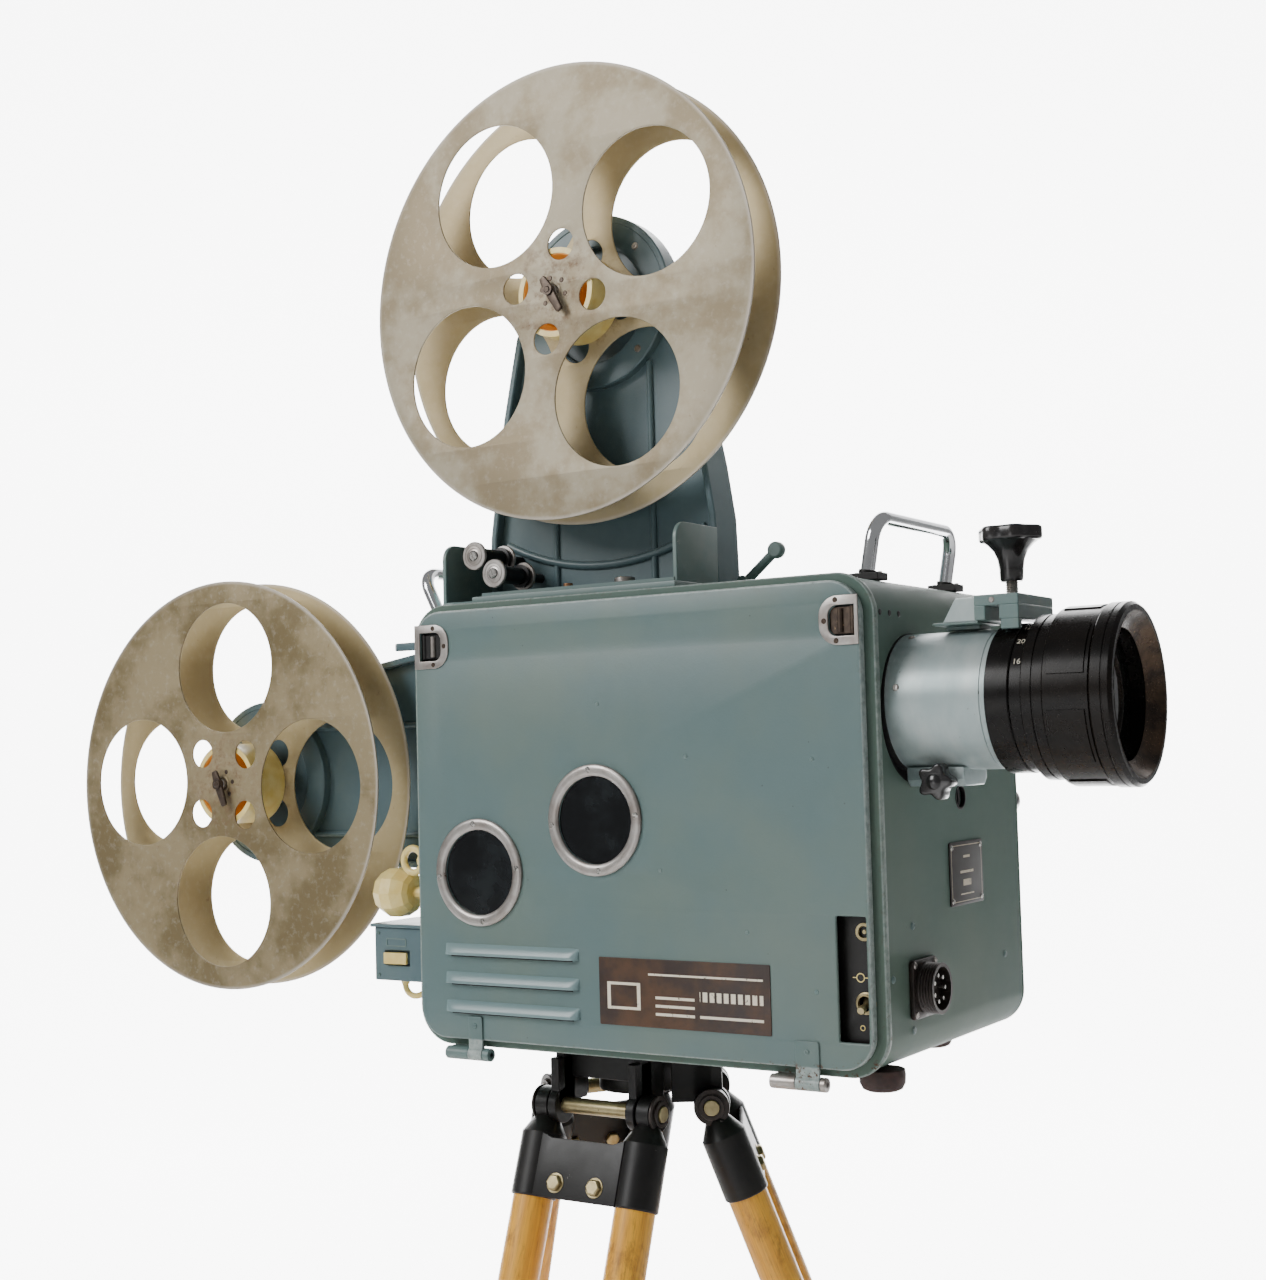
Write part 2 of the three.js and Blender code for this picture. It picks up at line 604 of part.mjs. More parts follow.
// ---------------------------------------------------------------- tray, rollers and clamp lever
const buildTray = (parent) => {
  const z = TRAY.floor;
  const walls = [[-213, -209], [18, 22]].map(([x0, x1]) => {
    const outline = new THREE.Shape();
    outline.moveTo(TRAY.y0, z + 2);
    outline.lineTo(TRAY.y1, z + 2);
    outline.lineTo(TRAY.y1, TRAY.top);
    outline.lineTo(TRAY.y0 + 14, TRAY.top);
    outline.absarc(TRAY.y0 + 14, TRAY.top - 14, 14, Math.PI / 2, Math.PI, false);
    outline.closePath();
    const geometry = new THREE.ExtrudeGeometry(outline, { depth: x1 - x0, bevelEnabled: false, curveSegments: 6 });
    geometry.applyMatrix4(
      new THREE.Matrix4().makeBasis(
        new THREE.Vector3(0, 1, 0),
        new THREE.Vector3(0, 0, 1),
        new THREE.Vector3(1, 0, 0),
      ),
    );
    geometry.translate(x0, 0, 0);
    return toSolid(geometry);
  });
  const floor = join(
    box(-160, 36, -120.4, TRAY.y0, z + GAP, z + 7),
    box(-213, 36, TRAY.y0 - 0.1, TRAY.y1, z + GAP, z + 7),
    box(-171, 20, TRAY.y0, TRAY.y0 + 4, z + 6.9, z + 12.5),
  );
  const tray = cut(join(...walls, floor), box(-200, -174, -88, -40, 340, 380), box(-230, -200, -60, 0, 340, 353.8));
  add(parent, "top_tray", tray, "enamel");

  for (const [name, [x, y]] of [["upper", ROLLERS.upper], ["lower", ROLLERS.lower]]) {
    const r = ROLLERS.disc;
    const b = ROLLERS.body;
    const roller = turned(
      [[0, -88], [4, -88], [4, -86.2], [r, -86], [r, -83.6], [b, -83.4], [b, -50], [r - 2, -49.6], [r - 2, -47.6],
        [b, -47.2], [b, -45], [r, -44.8], [r, -42.4], [4, -42.2], [4, ARM.front + ARM.web - GAP],
        [0, ARM.front + ARM.web - GAP]],
      "y",
      [x, 0, y],
      12,
    );
    add(parent, `film_roller_${name}`, roller, "black");
  }

  const lever = join(
    rod(5.2, "y", -7, 7, [31, 367.2], 16),
    swept([[31, 0, 367.2], [46, 0, 379.4], [60, 0, 391]], 4, 10),
    rod(7, "y", -4.5, 4.5, [60.5, 391.4], 16),
  );
  add(parent, "clamp_lever", lever, "steel");
};

// ---------------------------------------------------------------- reels
const circleHole = (x, y, r, n) => {
  const hole = new THREE.Path();
  for (let i = 0; i <= n; i += 1) {
    const a = (i / n) * -2 * Math.PI;
    if (i === 0) hole.moveTo(x + r, y);
    else if (i < n) hole.lineTo(x + r * Math.cos(a), y + r * Math.sin(a));
  }
  hole.closePath();
  return hole;
};

const flange = (y0, y1, turn) => {
  const points = [];
  for (let i = 0; i < 48; i += 1) {
    const a = (i / 48) * 2 * Math.PI;
    points.push([REEL.radius * Math.cos(a), REEL.radius * Math.sin(a)]);
  }
  const shape = polygon(points);
  for (let k = 0; k < 4; k += 1) {
    const big = rad(turn + 90 * k);
    const small = rad(turn + 45 + 90 * k);
    shape.holes.push(circleHole(REEL.pitch * Math.cos(big), REEL.pitch * Math.sin(big), REEL.hole, 20));
    const p = REEL_SMALL.pitch;
    shape.holes.push(circleHole(p * Math.cos(small), p * Math.sin(small), REEL_SMALL.hole, 8));
  }
  shape.holes.push(circleHole(0, 0, 5.6, 8));
  return slab(shape, y0, y1);
};

const buildReel = (parent, prefix, place) => {
  const reel = group(parent, place.x, 0, place.z);
  const inner0 = REEL.front + REEL.sheet;
  const inner1 = REEL.rear - REEL.sheet;
  add(reel, `${prefix}_reel_front`, flange(REEL.front, inner0, place.turn), "tin");
  add(reel, `${prefix}_reel_rear`, flange(inner1, REEL.rear, place.turn), "tin");

  let core = pipe(REEL.core, 32.5, "y", inner0 + GAP, inner1 - GAP, [0, 0], 24);
  core = join(core, pipe(11, 5.6, "y", inner0 + GAP, inner1 - GAP, [0, 0], 12));
  for (let k = 0; k < 4; k += 1) {
    const spoke = new THREE.BoxGeometry(24, inner1 - inner0 - 2 * GAP - 8, 4.5);
    spoke.translate(21.5, (inner0 + inner1) / 2, 0);
    spoke.rotateY(rad(-place.turn + 90 * k));
    core = join(core, toSolid(spoke));
  }
  add(reel, `${prefix}_reel_core`, core, "ivory");

  const spindle = turned(
    [[0, -90], [5, -90], [5, -40.8], [17, -40.8], [17, -36], [12, -35], [12, -30], [0, -30]],
    "y",
    [0, 0, 0],
    14,
  );
  add(reel, `${prefix}_spindle`, spindle, "steel");

  const bar = polygon([[-3, 13], [3, 13], [4.6, 0], [3, -21], [-3, -21], [-4.6, 0]]);
  const key = slab(bar, -94, -91).rotate([0, place.turn > 0 ? -30 : -22, 0]);
  add(reel, `${prefix}_reel_key`, join(key, rod(4.6, "y", -95.5, -90.3, [0, 0], 14)), "steel");
};

// ---------------------------------------------------------------- tripod
const buildStand = (parent) => {
  const stand = group(parent, STAND.x, STAND.y, 0);
  const top = CASE.z0 - GAP - CASE.lip;
  let head = rod(62, "z", top - 12, top, [0, 0], 24);
  head = join(head, pipe(34, 24, "z", -52, top - 11, [0, 0], 20));
  for (const turn of LEG_TURNS) {
    const cheeks = [-38, 38].map((t) => {
      const side = join(
        box(28, STAND.pinR + 8, t - 4, t + 4, -60, top),
        rod(15, "y", t - 4, t + 4, [STAND.pinR, STAND.pinZ], 12),
      );
      return side;
    });
    const web = box(44, 50, -40, 40, -38, top - 1);
    const pin = rod(6.4, "y", -58, 58, [STAND.pinR, STAND.pinZ], 10);
    const arm = join(...cheeks, web, pin);
    head = join(head, arm.rotate([0, 0, turn]));
  }
  add(stand, "tripod_head", head, "black");

  const drop = STAND.pinZ - STAND.floor;
  const length = drop / Math.cos(rad(STAND.tilt));
  LEG_TURNS.forEach((turn, k) => {
    const hip = group(stand);
    hip.rotation.z = rad(turn);
    const leg = group(hip, STAND.pinR, 0, STAND.pinZ);
    leg.rotation.y = rad(-STAND.tilt);

    let bracket = box(11.5, 15.5, -40, 40, -76, -26);
    for (const t of [-STAND.spacing, STAND.spacing]) {
      const sleeve = rod(STAND.pole + 2, "z", -76, -24, [0, t], 14);
      const pinch = turned([[0, -24.1], [STAND.pole + 2, -24.1], [8, -8], [0, -8]], "z", [0, t, 0], 14);
      const ear = rod(14, "y", t - 6, t + 6, [0, 0], 12);
      bracket = join(bracket, sleeve, pinch, ear);
    }
    bracket = cut(bracket, rod(7, "y", -80, 80, [0, 0], 10), rod(15.4, "y", -43, 43, [0, 0], 16));
    for (const t of [-STAND.spacing, STAND.spacing]) {
      bracket = cut(bracket, rod(STAND.pole + GAP, "z", -80, -30, [0, t], 14));
    }
    add(leg, `leg_bracket_${k + 1}`, bracket, "black");

    const low = -length + 88;
    let poles = box(-11, 11, -STAND.spacing, STAND.spacing, low - 30, low + 6);
    poles = join(poles, box(-7, 7, -STAND.spacing, STAND.spacing, -length / 2 - 12, -length / 2 + 12));
    for (const t of [-STAND.spacing, STAND.spacing]) {
      poles = join(poles, rod(STAND.pole, "z", low - 34, -30 - GAP, [0, t], 14));
    }
    const shoe = turned(
      [[0, -length - 20], [15, -length - 20], [15, -length + 22], [11, -length + 26], [13, low - 20], [0, low - 20]],
      "z",
      [0, 0, 0],
      14,
    );
    const ground = new THREE.BoxGeometry(1400, 400, 100);
    ground.translate(0, 0, -50);
    ground.rotateY(rad(STAND.tilt));
    const floor = new THREE.Vector3(0, 0, STAND.floor - STAND.pinZ).applyAxisAngle(
      new THREE.Vector3(0, 1, 0),
      rad(STAND.tilt),
    );
    ground.translate(floor.x, floor.y, floor.z);
    poles = cut(join(poles, shoe), toSolid(ground));
    add(leg, `leg_poles_${k + 1}`, poles, "wood");
  });
};

buildCase(root);
buildDoor(root);
buildMechanism(root);
buildLens(root);
buildFittings(root);
buildHandles(root);
buildArms(root);
buildTray(root);
buildReel(root, "upper", UPPER_REEL);
buildReel(root, "lower", LOWER_REEL);
buildStand(root);

export default root;
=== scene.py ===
"""Looks of a portable 35 mm film projector on a wooden tripod.

Every shape is drawn in millimetres round the case: X along the way the light is thrown, Y away from
the door, Z up from the bottom of the case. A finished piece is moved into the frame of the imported
model, in metres. Each sub-assembly is a class that builds its own pieces.
"""

import logging
import math
from dataclasses import dataclass
from enum import Enum
from functools import cache
from typing import Callable, Iterable, Optional, Sequence, Union

import bmesh
import bpy
from mathutils import Matrix, Vector


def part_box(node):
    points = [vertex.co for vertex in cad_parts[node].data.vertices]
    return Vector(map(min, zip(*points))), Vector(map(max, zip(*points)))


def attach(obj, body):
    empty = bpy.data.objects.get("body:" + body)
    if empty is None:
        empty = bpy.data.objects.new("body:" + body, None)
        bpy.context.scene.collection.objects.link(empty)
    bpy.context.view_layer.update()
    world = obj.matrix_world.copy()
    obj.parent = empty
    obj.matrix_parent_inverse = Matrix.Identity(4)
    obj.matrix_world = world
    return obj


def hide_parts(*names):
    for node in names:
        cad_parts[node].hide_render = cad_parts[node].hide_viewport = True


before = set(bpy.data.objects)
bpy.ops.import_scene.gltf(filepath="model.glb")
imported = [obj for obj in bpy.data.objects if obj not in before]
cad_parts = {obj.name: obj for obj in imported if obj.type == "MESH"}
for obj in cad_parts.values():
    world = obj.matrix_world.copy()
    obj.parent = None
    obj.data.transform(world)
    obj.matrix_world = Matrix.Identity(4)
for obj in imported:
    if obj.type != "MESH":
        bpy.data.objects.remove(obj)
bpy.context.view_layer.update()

log = logging.getLogger("projector")
MM = 0.001
TURN = 2 * math.pi
Point = tuple[float, float, float]
Flat = tuple[float, float]
Colour = tuple[float, float, float]
Material = bpy.types.Material
Mesh = bpy.types.Mesh
NodeTree = bpy.types.NodeTree
Object = bpy.types.Object
Socket = bpy.types.NodeSocket

# The case shell's lowest corner in the drawing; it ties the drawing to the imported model.
SHELL_CORNER = Vector((-214.2, -130.0, -3.0))
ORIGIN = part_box("case_shell")[0] - SHELL_CORNER * MM
TO_MODEL = Matrix.Translation(ORIGIN) @ Matrix.Scale(MM, 4)

# Lines that more than one assembly is built round: (y, z) of the door's hinge pins and of the lens.
HINGE_PIN = (-137.2, -8.2)
LENS_AXIS = (-65.0, 261.5)


class Axis(Enum):
    """The direction that a shape is turned round or extruded along."""

    X = ((0, 0, 1), (1, 0, 0), (0, 1, 0))
    Y = ((1, 0, 0), (0, 0, 1), (0, 1, 0))
    Z = ((1, 0, 0), (0, 1, 0), (0, 0, 1))

    def matrix(self) -> Matrix:
        """Turns (across, across, along) into the drawing's own axes."""
        return Matrix(self.value).to_4x4()


class Body(Enum):
    """The moving bodies that more than one piece rides on."""

    CASE = "case"
    DOOR = "door"


# ---------- shader tools
def maths(operation: str, swapped: bool = False) -> Callable[..., "Value"]:
    """A method that adds one Math node.

    Args:
        operation: the node's operation.
        swapped: whether the value itself comes last.

    Returns:
        The method.
    """

    def run(self: "Value", *others: "Number") -> "Value":
        """Adds the node on this value and the other terms."""
        terms = (*others, self) if swapped else (self, *others)
        return self.shader.node("ShaderNodeMath", {"operation": operation}, dict(enumerate(terms)))

    return run


class Value:
    """A shader socket that takes part in Python arithmetic."""

    def __init__(self, shader: "Shader", socket: Optional[Socket]) -> None:
        """Keeps the socket and the shader that it belongs to."""
        self.shader = shader
        self.socket = socket

    __add__ = __radd__ = maths("ADD")
    __sub__ = maths("SUBTRACT")
    __rsub__ = maths("SUBTRACT", swapped=True)
    __mul__ = __rmul__ = maths("MULTIPLY")
    __truediv__ = maths("DIVIDE")
    __abs__ = maths("ABSOLUTE")
    __pow__ = maths("POWER")
    most = maths("MAXIMUM")
    least = maths("MINIMUM")
    wrap = maths("WRAP")
    sine = maths("SINE")

    def between(self, low: float, high: float) -> "Value":
        """Eases from 0 at the low value to 1 at the high one."""
        settings = {"interpolation_type": "SMOOTHSTEP"}
        return self.shader.node("ShaderNodeMapRange", settings, {0: self, 1: low, 2: high})


Number = Union[float, Value]


class Shader:
    """One material and the nodes that make it."""

    def __init__(self, name: str) -> None:
        """Starts an empty material."""
        self.material = bpy.data.materials.new(name)
        self.material.use_nodes = True
        self.tree = self.material.node_tree
        self.tree.nodes.clear()

    def node(self, kind: str, settings: dict, inputs: dict, output: int = 0) -> Value:
        """Adds a node.

        Args:
            kind: the node's type.
            settings: its own settings.
            inputs: values or links of its sockets, by name or number.
            output: the number of the output that is wanted.

        Returns:
            The chosen output.
        """
        made = self.tree.nodes.new(kind)
        for key, value in settings.items():
            setattr(made, key, value)
        for key, value in inputs.items():
            if isinstance(value, Value):
                self.tree.links.new(value.socket, made.inputs[key])
            else:
                wanted = made.inputs[key].default_value
                if hasattr(wanted, "__len__") and len(wanted) == 4 and len(value) == 3:
                    value = (*value, 1.0)
                made.inputs[key].default_value = value
        return Value(self, made.outputs[output] if made.outputs else None)

    def place(self, stretch: Point = (1, 1, 1), shift: Point = (0, 0, 0)) -> Value:
        """Position in the drawing's millimetres.

        Args:
            stretch: factors that squeeze a pattern along each axis.
            shift: moves the pattern, in millimetres.

        Returns:
            The position as a vector.
        """
        spot = self.node("ShaderNodeTexCoord", {}, {}, 3)
        scale = [factor / MM for factor in stretch]
        move = [shift[i] - stretch[i] * ORIGIN[i] / MM for i in range(3)]
        return self.node("ShaderNodeMapping", {}, {0: spot, 1: move, 3: scale})

    def parts(self, vector: Value) -> tuple[Value, Value, Value]:
        """The three numbers of a vector."""
        first = self.node("ShaderNodeSeparateXYZ", {}, {0: vector})
        outputs = first.socket.node.outputs
        return first, Value(self, outputs[1]), Value(self, outputs[2])

    def noise(
            self, size: float, detail: float = 3, rough: float = 0.55, stretch: Point = (1, 1, 1),
            shift: Point = (0, 0, 0)) -> Value:
        """Cloudy noise from 0 to 1.

        Args:
            size: width of one cloud in millimetres.
            detail: how many finer layers are added.
            rough: how strong those layers are.
            stretch: factors along each axis.
            shift: moves the pattern, in millimetres.

        Returns:
            The noise value.
        """
        inputs = {
            "Vector": self.place(stretch, shift), "Scale": 1 / size, "Detail": detail, "Roughness": rough}
        return self.node("ShaderNodeTexNoise", {}, inputs)

    def specks(self, size: float) -> Value:
        """Distance to the nearest of many scattered points, in cell widths."""
        return self.node("ShaderNodeTexVoronoi", {}, {"Vector": self.place(), "Scale": 1 / size})

    def mix(self, factor: Number, first: Union[Colour, Value], second: Union[Colour, Value]) -> Value:
        """Mixes two colours; a factor of 1 gives the second."""
        settings = {"data_type": "RGBA"}
        return self.node("ShaderNodeMix", settings, {0: factor, 6: first, 7: second}, 2)

    def bump(self, height: Value, depth: float) -> Value:
        """A normal from a height.

        Args:
            height: the height from 0 to 1.
            depth: what a height of 1 stands for, in millimetres.

        Returns:
            The normal.
        """
        return self.node("ShaderNodeBump", {}, {"Height": height, "Distance": depth * MM, "Strength": 1.0})

    def surface(self, **inputs: Union[Number, Colour]) -> Material:
        """Ends the material in one principled surface; underscores in names stand for spaces."""
        named = {key.replace("_", " "): value for key, value in inputs.items()}
        shaded = self.node("ShaderNodeBsdfPrincipled", {}, named)
        self.node("ShaderNodeOutputMaterial", {}, {0: shaded})
        return self.material


# ---------- finishes
def tone(red: int, green: int, blue: int) -> Colour:
    """A colour given as it looks on a screen, from 0 to 255, as a linear colour."""
    return tuple(((c / 255 + 0.055) / 1.055) ** 2.4 if c > 10 else c / 3294.6 for c in (red, green, blue))


@dataclass(frozen=True)
class Finish:
    """A painted, plated or moulded surface with soft patches, grain and small chips.

    A chip is given as its colour, its size and the noise level above which it shows.
    """

    name: str
    slot: str
    base: Colour
    patch: Colour
    patch_size: float = 60.0
    patch_share: float = 0.5
    rough: tuple[float, float] = (0.35, 0.5)
    metal: float = 0.0
    grain: float = 1.2
    depth: float = 0.03
    stretch: Point = (1, 1, 1)
    chip: tuple[Colour, float, float] = ((0.3, 0.3, 0.3), 14.0, 0.72)
    coat: float = 0.0
    specular: float = 0.5
    # Emission in the finish's own colour; any glow above 0 is painted light.
    glow: float = 0.0

    @cache
    def material(self) -> Material:
        """The finish's material, made once."""
        return self.paint(Shader(self.name))

    def colour(self, shader: Shader) -> tuple[Value, Value, Value]:
        """Base colour, a mask of chips, and the fine grain.

        Args:
            shader: the material being made.

        Returns:
            Colour, chip mask and grain height.
        """
        patches = shader.noise(self.patch_size, 4, 0.6, self.stretch)
        grain = shader.noise(self.grain, 2, 0.5, self.stretch)
        chip, size, limit = self.chip
        mask = shader.noise(size, 6, 0.72, self.stretch, (37, 11, 5)).between(limit, limit + 0.02)
        colour = shader.mix(patches.between(0.35, 0.68) * self.patch_share, self.base, self.patch)
        return shader.mix(mask, colour, chip), mask, grain

    def paint(self, shader: Shader) -> Material:
        """Builds the nodes."""
        colour, mask, grain = self.colour(shader)
        cloud = shader.noise(self.patch_size * 0.4, 3)
        low, high = self.rough
        return shader.surface(
            Base_Color=colour,
            Metallic=self.metal,
            Roughness=low + (high - low) * cloud,
            Specular_IOR_Level=self.specular,
            Coat_Weight=self.coat,
            Coat_Roughness=0.12,
            Emission_Color=colour,
            Emission_Strength=self.glow,
            Normal=shader.bump(grain - mask * 0.6, self.depth),
        )


@dataclass(frozen=True)
class EdgeWornSheenEnamel(Finish):
    """Enamel on a rounded-corner panel, chipped brown at the corners, its rim pale from wear and painted
    highlight.
    """

    middle: Flat = (-4.0, 176.0)
    half: Flat = (203.0, 173.0)
    corner: float = 25.0
    rim: float = 1.2
    # Pale rim colour and its strength: rubbed paint and painted highlight together.
    worn: Colour = tone(186, 196, 192)
    wear: float = 0.7

    def paint(self, shader: Shader) -> Material:
        """Builds the nodes."""
        colour, mask, grain = self.colour(shader)
        x, y, z = shader.parts(shader.place())
        across = (abs(x - self.middle[0]) - (self.half[0] - self.corner)).most(0.0)
        up = (abs(z - self.middle[1]) - (self.half[1] - self.corner)).most(0.0)
        inwards = self.corner - (across * across + up * up) ** 0.5
        front = 1 - y.between(-125, -121)
        scrape_and_sheen = shader.noise(5, 5, 0.7, (1, 1, 1)).between(0.3, 0.7) * 0.6 + 0.4
        # Pale band along the rim: partly rubbed paint, partly painted highlight on the rolled edge.
        rub_and_highlight = (1 - inwards.between(0.1, self.rim + 0.5)) * scrape_and_sheen * front
        colour = shader.mix(rub_and_highlight * self.wear, colour, self.worn)
        low = (60 - z).between(0, 60) * (x - 60).between(0, 110)
        flake = shader.noise(5, 6, 0.75, (1, 1, 1), (9, 3, 1)).between(0.56, 0.6)
        broken = (1 - inwards.between(0.5, 5.0)) * flake * (0.2 + low) * front
        colour = shader.mix(broken.least(1.0), colour, tone(92, 72, 58))
        dots = shader.specks(22).between(0.035, 0.02)
        colour = shader.mix(dots * 0.5, colour, tone(60, 66, 66))
        rough = self.rough[0] + (self.rough[1] - self.rough[0]) * shader.noise(24, 3)
        return shader.surface(
            Base_Color=colour,
            Roughness=rough + broken * 0.2,
            Specular_IOR_Level=self.specular,
            Coat_Weight=self.coat,
            Coat_Roughness=0.15,
            Normal=shader.bump(grain - mask * 0.6 - broken * 1.5, self.depth),
        )


@dataclass(frozen=True)
class TinPlate(Finish):
    """Dull tinned sheet with brown stains that gather round the reel's middle, painted light on the rear
    flange and a painted highlight at the rim.
    """

    centre: Flat = (-95.0, 613.0)

    def paint(self, shader: Shader) -> Material:
        """Builds the nodes."""
        x, y, z = shader.parts(shader.place())
        far = ((x - self.centre[0]) ** 2.0 + (z - self.centre[1]) ** 2.0) ** 0.5
        cloud = shader.noise(70, 5, 0.6)
        fine = shader.noise(7, 5, 0.7, (1, 1, 1), (3, 9, 7))
        colour = shader.mix(cloud.between(0.4, 0.6), self.base, self.patch)
        colour = shader.mix(fine.between(0.5, 0.72) * 0.22, colour, tone(196, 190, 176))
        # The rear flange is painted lighter and warmer: partly its own tone, partly painted light that lifts
        # its shade.
        colour = shader.mix(y.between(-70, -60) * 0.6, colour, tone(196, 178, 134))
        near = 1 - far.between(14, 70)
        stain = shader.noise(12, 6, 0.75, (1, 1, 1), (5, 1, 8))
        spots = stain.between(0.63, 0.72) * 0.55 + near * stain.between(0.45, 0.65) * 0.7
        colour = shader.mix(spots.least(1.0), colour, tone(116, 88, 64))
        # Pale band at the flange's edge: painted highlight in place of a rolled rim.
        rim = far.between(186, 190)
        colour = shader.mix(rim * 0.5, colour, tone(214, 208, 200))
        scratch = shader.noise(3, 3, 0.6, (0.08, 1, 1.6))
        return shader.surface(
            Base_Color=colour,
            Metallic=0.35,
            Roughness=0.42 + 0.22 * cloud + spots * 0.15,
            Normal=shader.bump(scratch * 0.5 + fine, 0.05),
        )


@dataclass(frozen=True)
class Wood(Finish):
    """Honey-coloured varnished wood with grain along the leg."""

    down: Point = (0.0, 0.0, 1.0)

    def paint(self, shader: Shader) -> Material:
        """Builds the nodes."""
        place = shader.place()
        along = shader.node("ShaderNodeVectorMath", {"operation": "DOT_PRODUCT"}, {0: place, 1: self.down}, 1)
        drawn = shader.node("ShaderNodeVectorMath", {"operation": "SCALE"}, {0: self.down, 3: along * 0.955})
        cross = shader.node("ShaderNodeVectorMath", {"operation": "SUBTRACT"}, {0: place, 1: drawn})
        figure = shader.node("ShaderNodeTexNoise", {}, {"Vector": cross, "Scale": 0.16, "Detail": 5.0})
        pores = shader.node("ShaderNodeTexNoise", {}, {"Vector": cross, "Scale": 1.3, "Detail": 3.0})
        bands = (figure * 34.0).sine() * 0.5 + 0.5
        colour = shader.mix(bands * 0.5, self.base, self.patch)
        colour = shader.mix(pores.between(0.5, 0.75) * 0.4, colour, tone(120, 70, 24))
        dirt = shader.noise(20, 6, 0.72, (1, 1, 0.4)).between(0.5, 0.66)
        colour = shader.mix(dirt * 0.6, colour, tone(130, 84, 34))
        return shader.surface(
            Base_Color=colour,
            Roughness=0.36 + 0.2 * pores,
            Coat_Weight=0.35,
            Coat_Roughness=0.2,
            Normal=shader.bump(pores + bands * 0.4, 0.08),
        )


@dataclass(frozen=True)
class PrintedPlate(Finish):
    """A printed plate with a pale border, plain bars and a row of small windows, and no lettering."""

    axes: tuple[int, int] = (0, 2)
    low: Flat = (-30.0, 23.5)
    high: Flat = (119.0, 74.5)
    ink: Colour = tone(226, 214, 196)
    border: float = 1.0
    bars: tuple[tuple[float, float, float, float], ...] = ()
    windows: tuple[float, float, float, float, float] = (0, 0, 0, 0, 1)

    def paint(self, shader: Shader) -> Material:
        """Builds the nodes."""
        colour, _, grain = self.colour(shader)
        parts = shader.parts(shader.place())
        u, v = parts[self.axes[0]] - self.low[0], parts[self.axes[1]] - self.low[1]
        wide, tall = self.high[0] - self.low[0], self.high[1] - self.low[1]

        def inside(a: Value, x0: float, x1: float, b: Value, y0: float, y1: float) -> Value:
            """1 inside a rectangle and 0 outside it, with a soft edge."""
            sides = a.between(x0 - 0.15, x0 + 0.15) * (1 - a.between(x1 - 0.15, x1 + 0.15))
            return sides * b.between(y0 - 0.15, y0 + 0.15) * (1 - b.between(y1 - 0.15, y1 + 0.15))

        edge = self.border
        print_mask = inside(u, edge, wide - edge, v, edge, tall - edge)
        print_mask = print_mask - inside(u, edge + 0.6, wide - edge - 0.6, v, edge + 0.6, tall - edge - 0.6)
        for x0, x1, y0, y1 in self.bars:
            print_mask = print_mask + inside(u, x0 * wide, x1 * wide, v, y0 * tall, y1 * tall)
        x0, x1, y0, y1, pitch = self.windows
        if x1 > x0:
            strip = inside(u, x0 * wide, x1 * wide, v, y0 * tall, y1 * tall)
            holes = (u.wrap(pitch, 0.0) / pitch).between(0.3, 0.38)
            print_mask = print_mask + strip * holes
        wear = shader.noise(3, 5, 0.7).between(0.3, 0.42)
        colour = shader.mix((print_mask * wear).least(1.0), colour, self.ink)
        return shader.surface(
            Base_Color=colour,
            Roughness=self.rough[0] + 0.2 * shader.noise(20, 3),
            Coat_Weight=self.coat,
            Normal=shader.bump(grain + print_mask * 0.5, self.depth),
        )


@dataclass(frozen=True)
class Glass(Finish):
    """Dark tinted glass: glossy, nearly opaque, with faint smears."""

    def paint(self, shader: Shader) -> Material:
        """Builds the nodes."""
        smear = shader.noise(30, 4, 0.6)
        colour = shader.mix(smear.between(0.4, 0.7), self.base, self.patch)
        return shader.surface(
            Base_Color=colour,
            Roughness=0.03 + 0.06 * smear,
            Specular_IOR_Level=self.specular,
            Coat_Weight=self.coat,
            Coat_Roughness=0.03,
            Normal=shader.bump(shader.noise(70, 1), 0.2),
        )


ENAMEL = EdgeWornSheenEnamel(
    "door_enamel", "enamel", tone(92, 113, 113), tone(103, 118, 109), 150, 0.7, (0.3, 0.42), depth=0.05,
    grain=1.6, chip=(tone(190, 196, 190), 30, 0.82), specular=0.45,
)
# Darker than the door's enamel: painted shade for the case walls, whose front wall faces away from the key
# light.
SHADED_SHELL_ENAMEL = EdgeWornSheenEnamel(
    "case_enamel_shaded", "enamel", tone(84, 104, 96), tone(95, 109, 97), 130, 0.6, (0.46, 0.58), depth=0.05,
    grain=1.6, chip=(tone(186, 190, 184), 30, 0.8), specular=0.12,
    half=(210.0, 179.0), corner=30.4, rim=0.6, wear=0.45,
)
TRIM_ENAMEL = Finish(
    "trim_enamel", "enamel", tone(98, 120, 118), tone(112, 126, 120), 40, 0.6, (0.32, 0.46), depth=0.04,
    chip=(tone(176, 176, 166), 12, 0.7),
)
ARM_ENAMEL = Finish(
    "arm_enamel", "dark_enamel", tone(82, 104, 110), tone(96, 114, 116), 60, 0.6, (0.3, 0.44), depth=0.06,
    grain=1.8, chip=(tone(132, 150, 150), 16, 0.76),
)
BLACK_PAINT = Finish(
    "black_paint", "black_enamel", tone(20, 19, 19), tone(34, 32, 30), 40, 0.7, (0.3, 0.5), depth=0.06,
    grain=1.4, chip=(tone(116, 112, 108), 9, 0.69), specular=0.35,
)
SILVER_PAINT = Finish(
    "silver_paint", "silver_enamel", tone(150, 166, 167), tone(180, 189, 187), 34, 0.8, (0.28, 0.44), 0.25,
    grain=2.4, depth=0.05, stretch=(1, 0.5, 0.5), chip=(tone(112, 116, 108), 9, 0.655),
)
ANODISED = Finish(
    "black_anodised", "anodised_alloy", tone(11, 9, 8), tone(26, 20, 15), 24, 0.6, (0.2, 0.34), 0.1,
    grain=0.9, depth=0.006, stretch=(0.3, 1, 1), chip=(tone(104, 80, 56), 7, 0.77), specular=0.22,
)
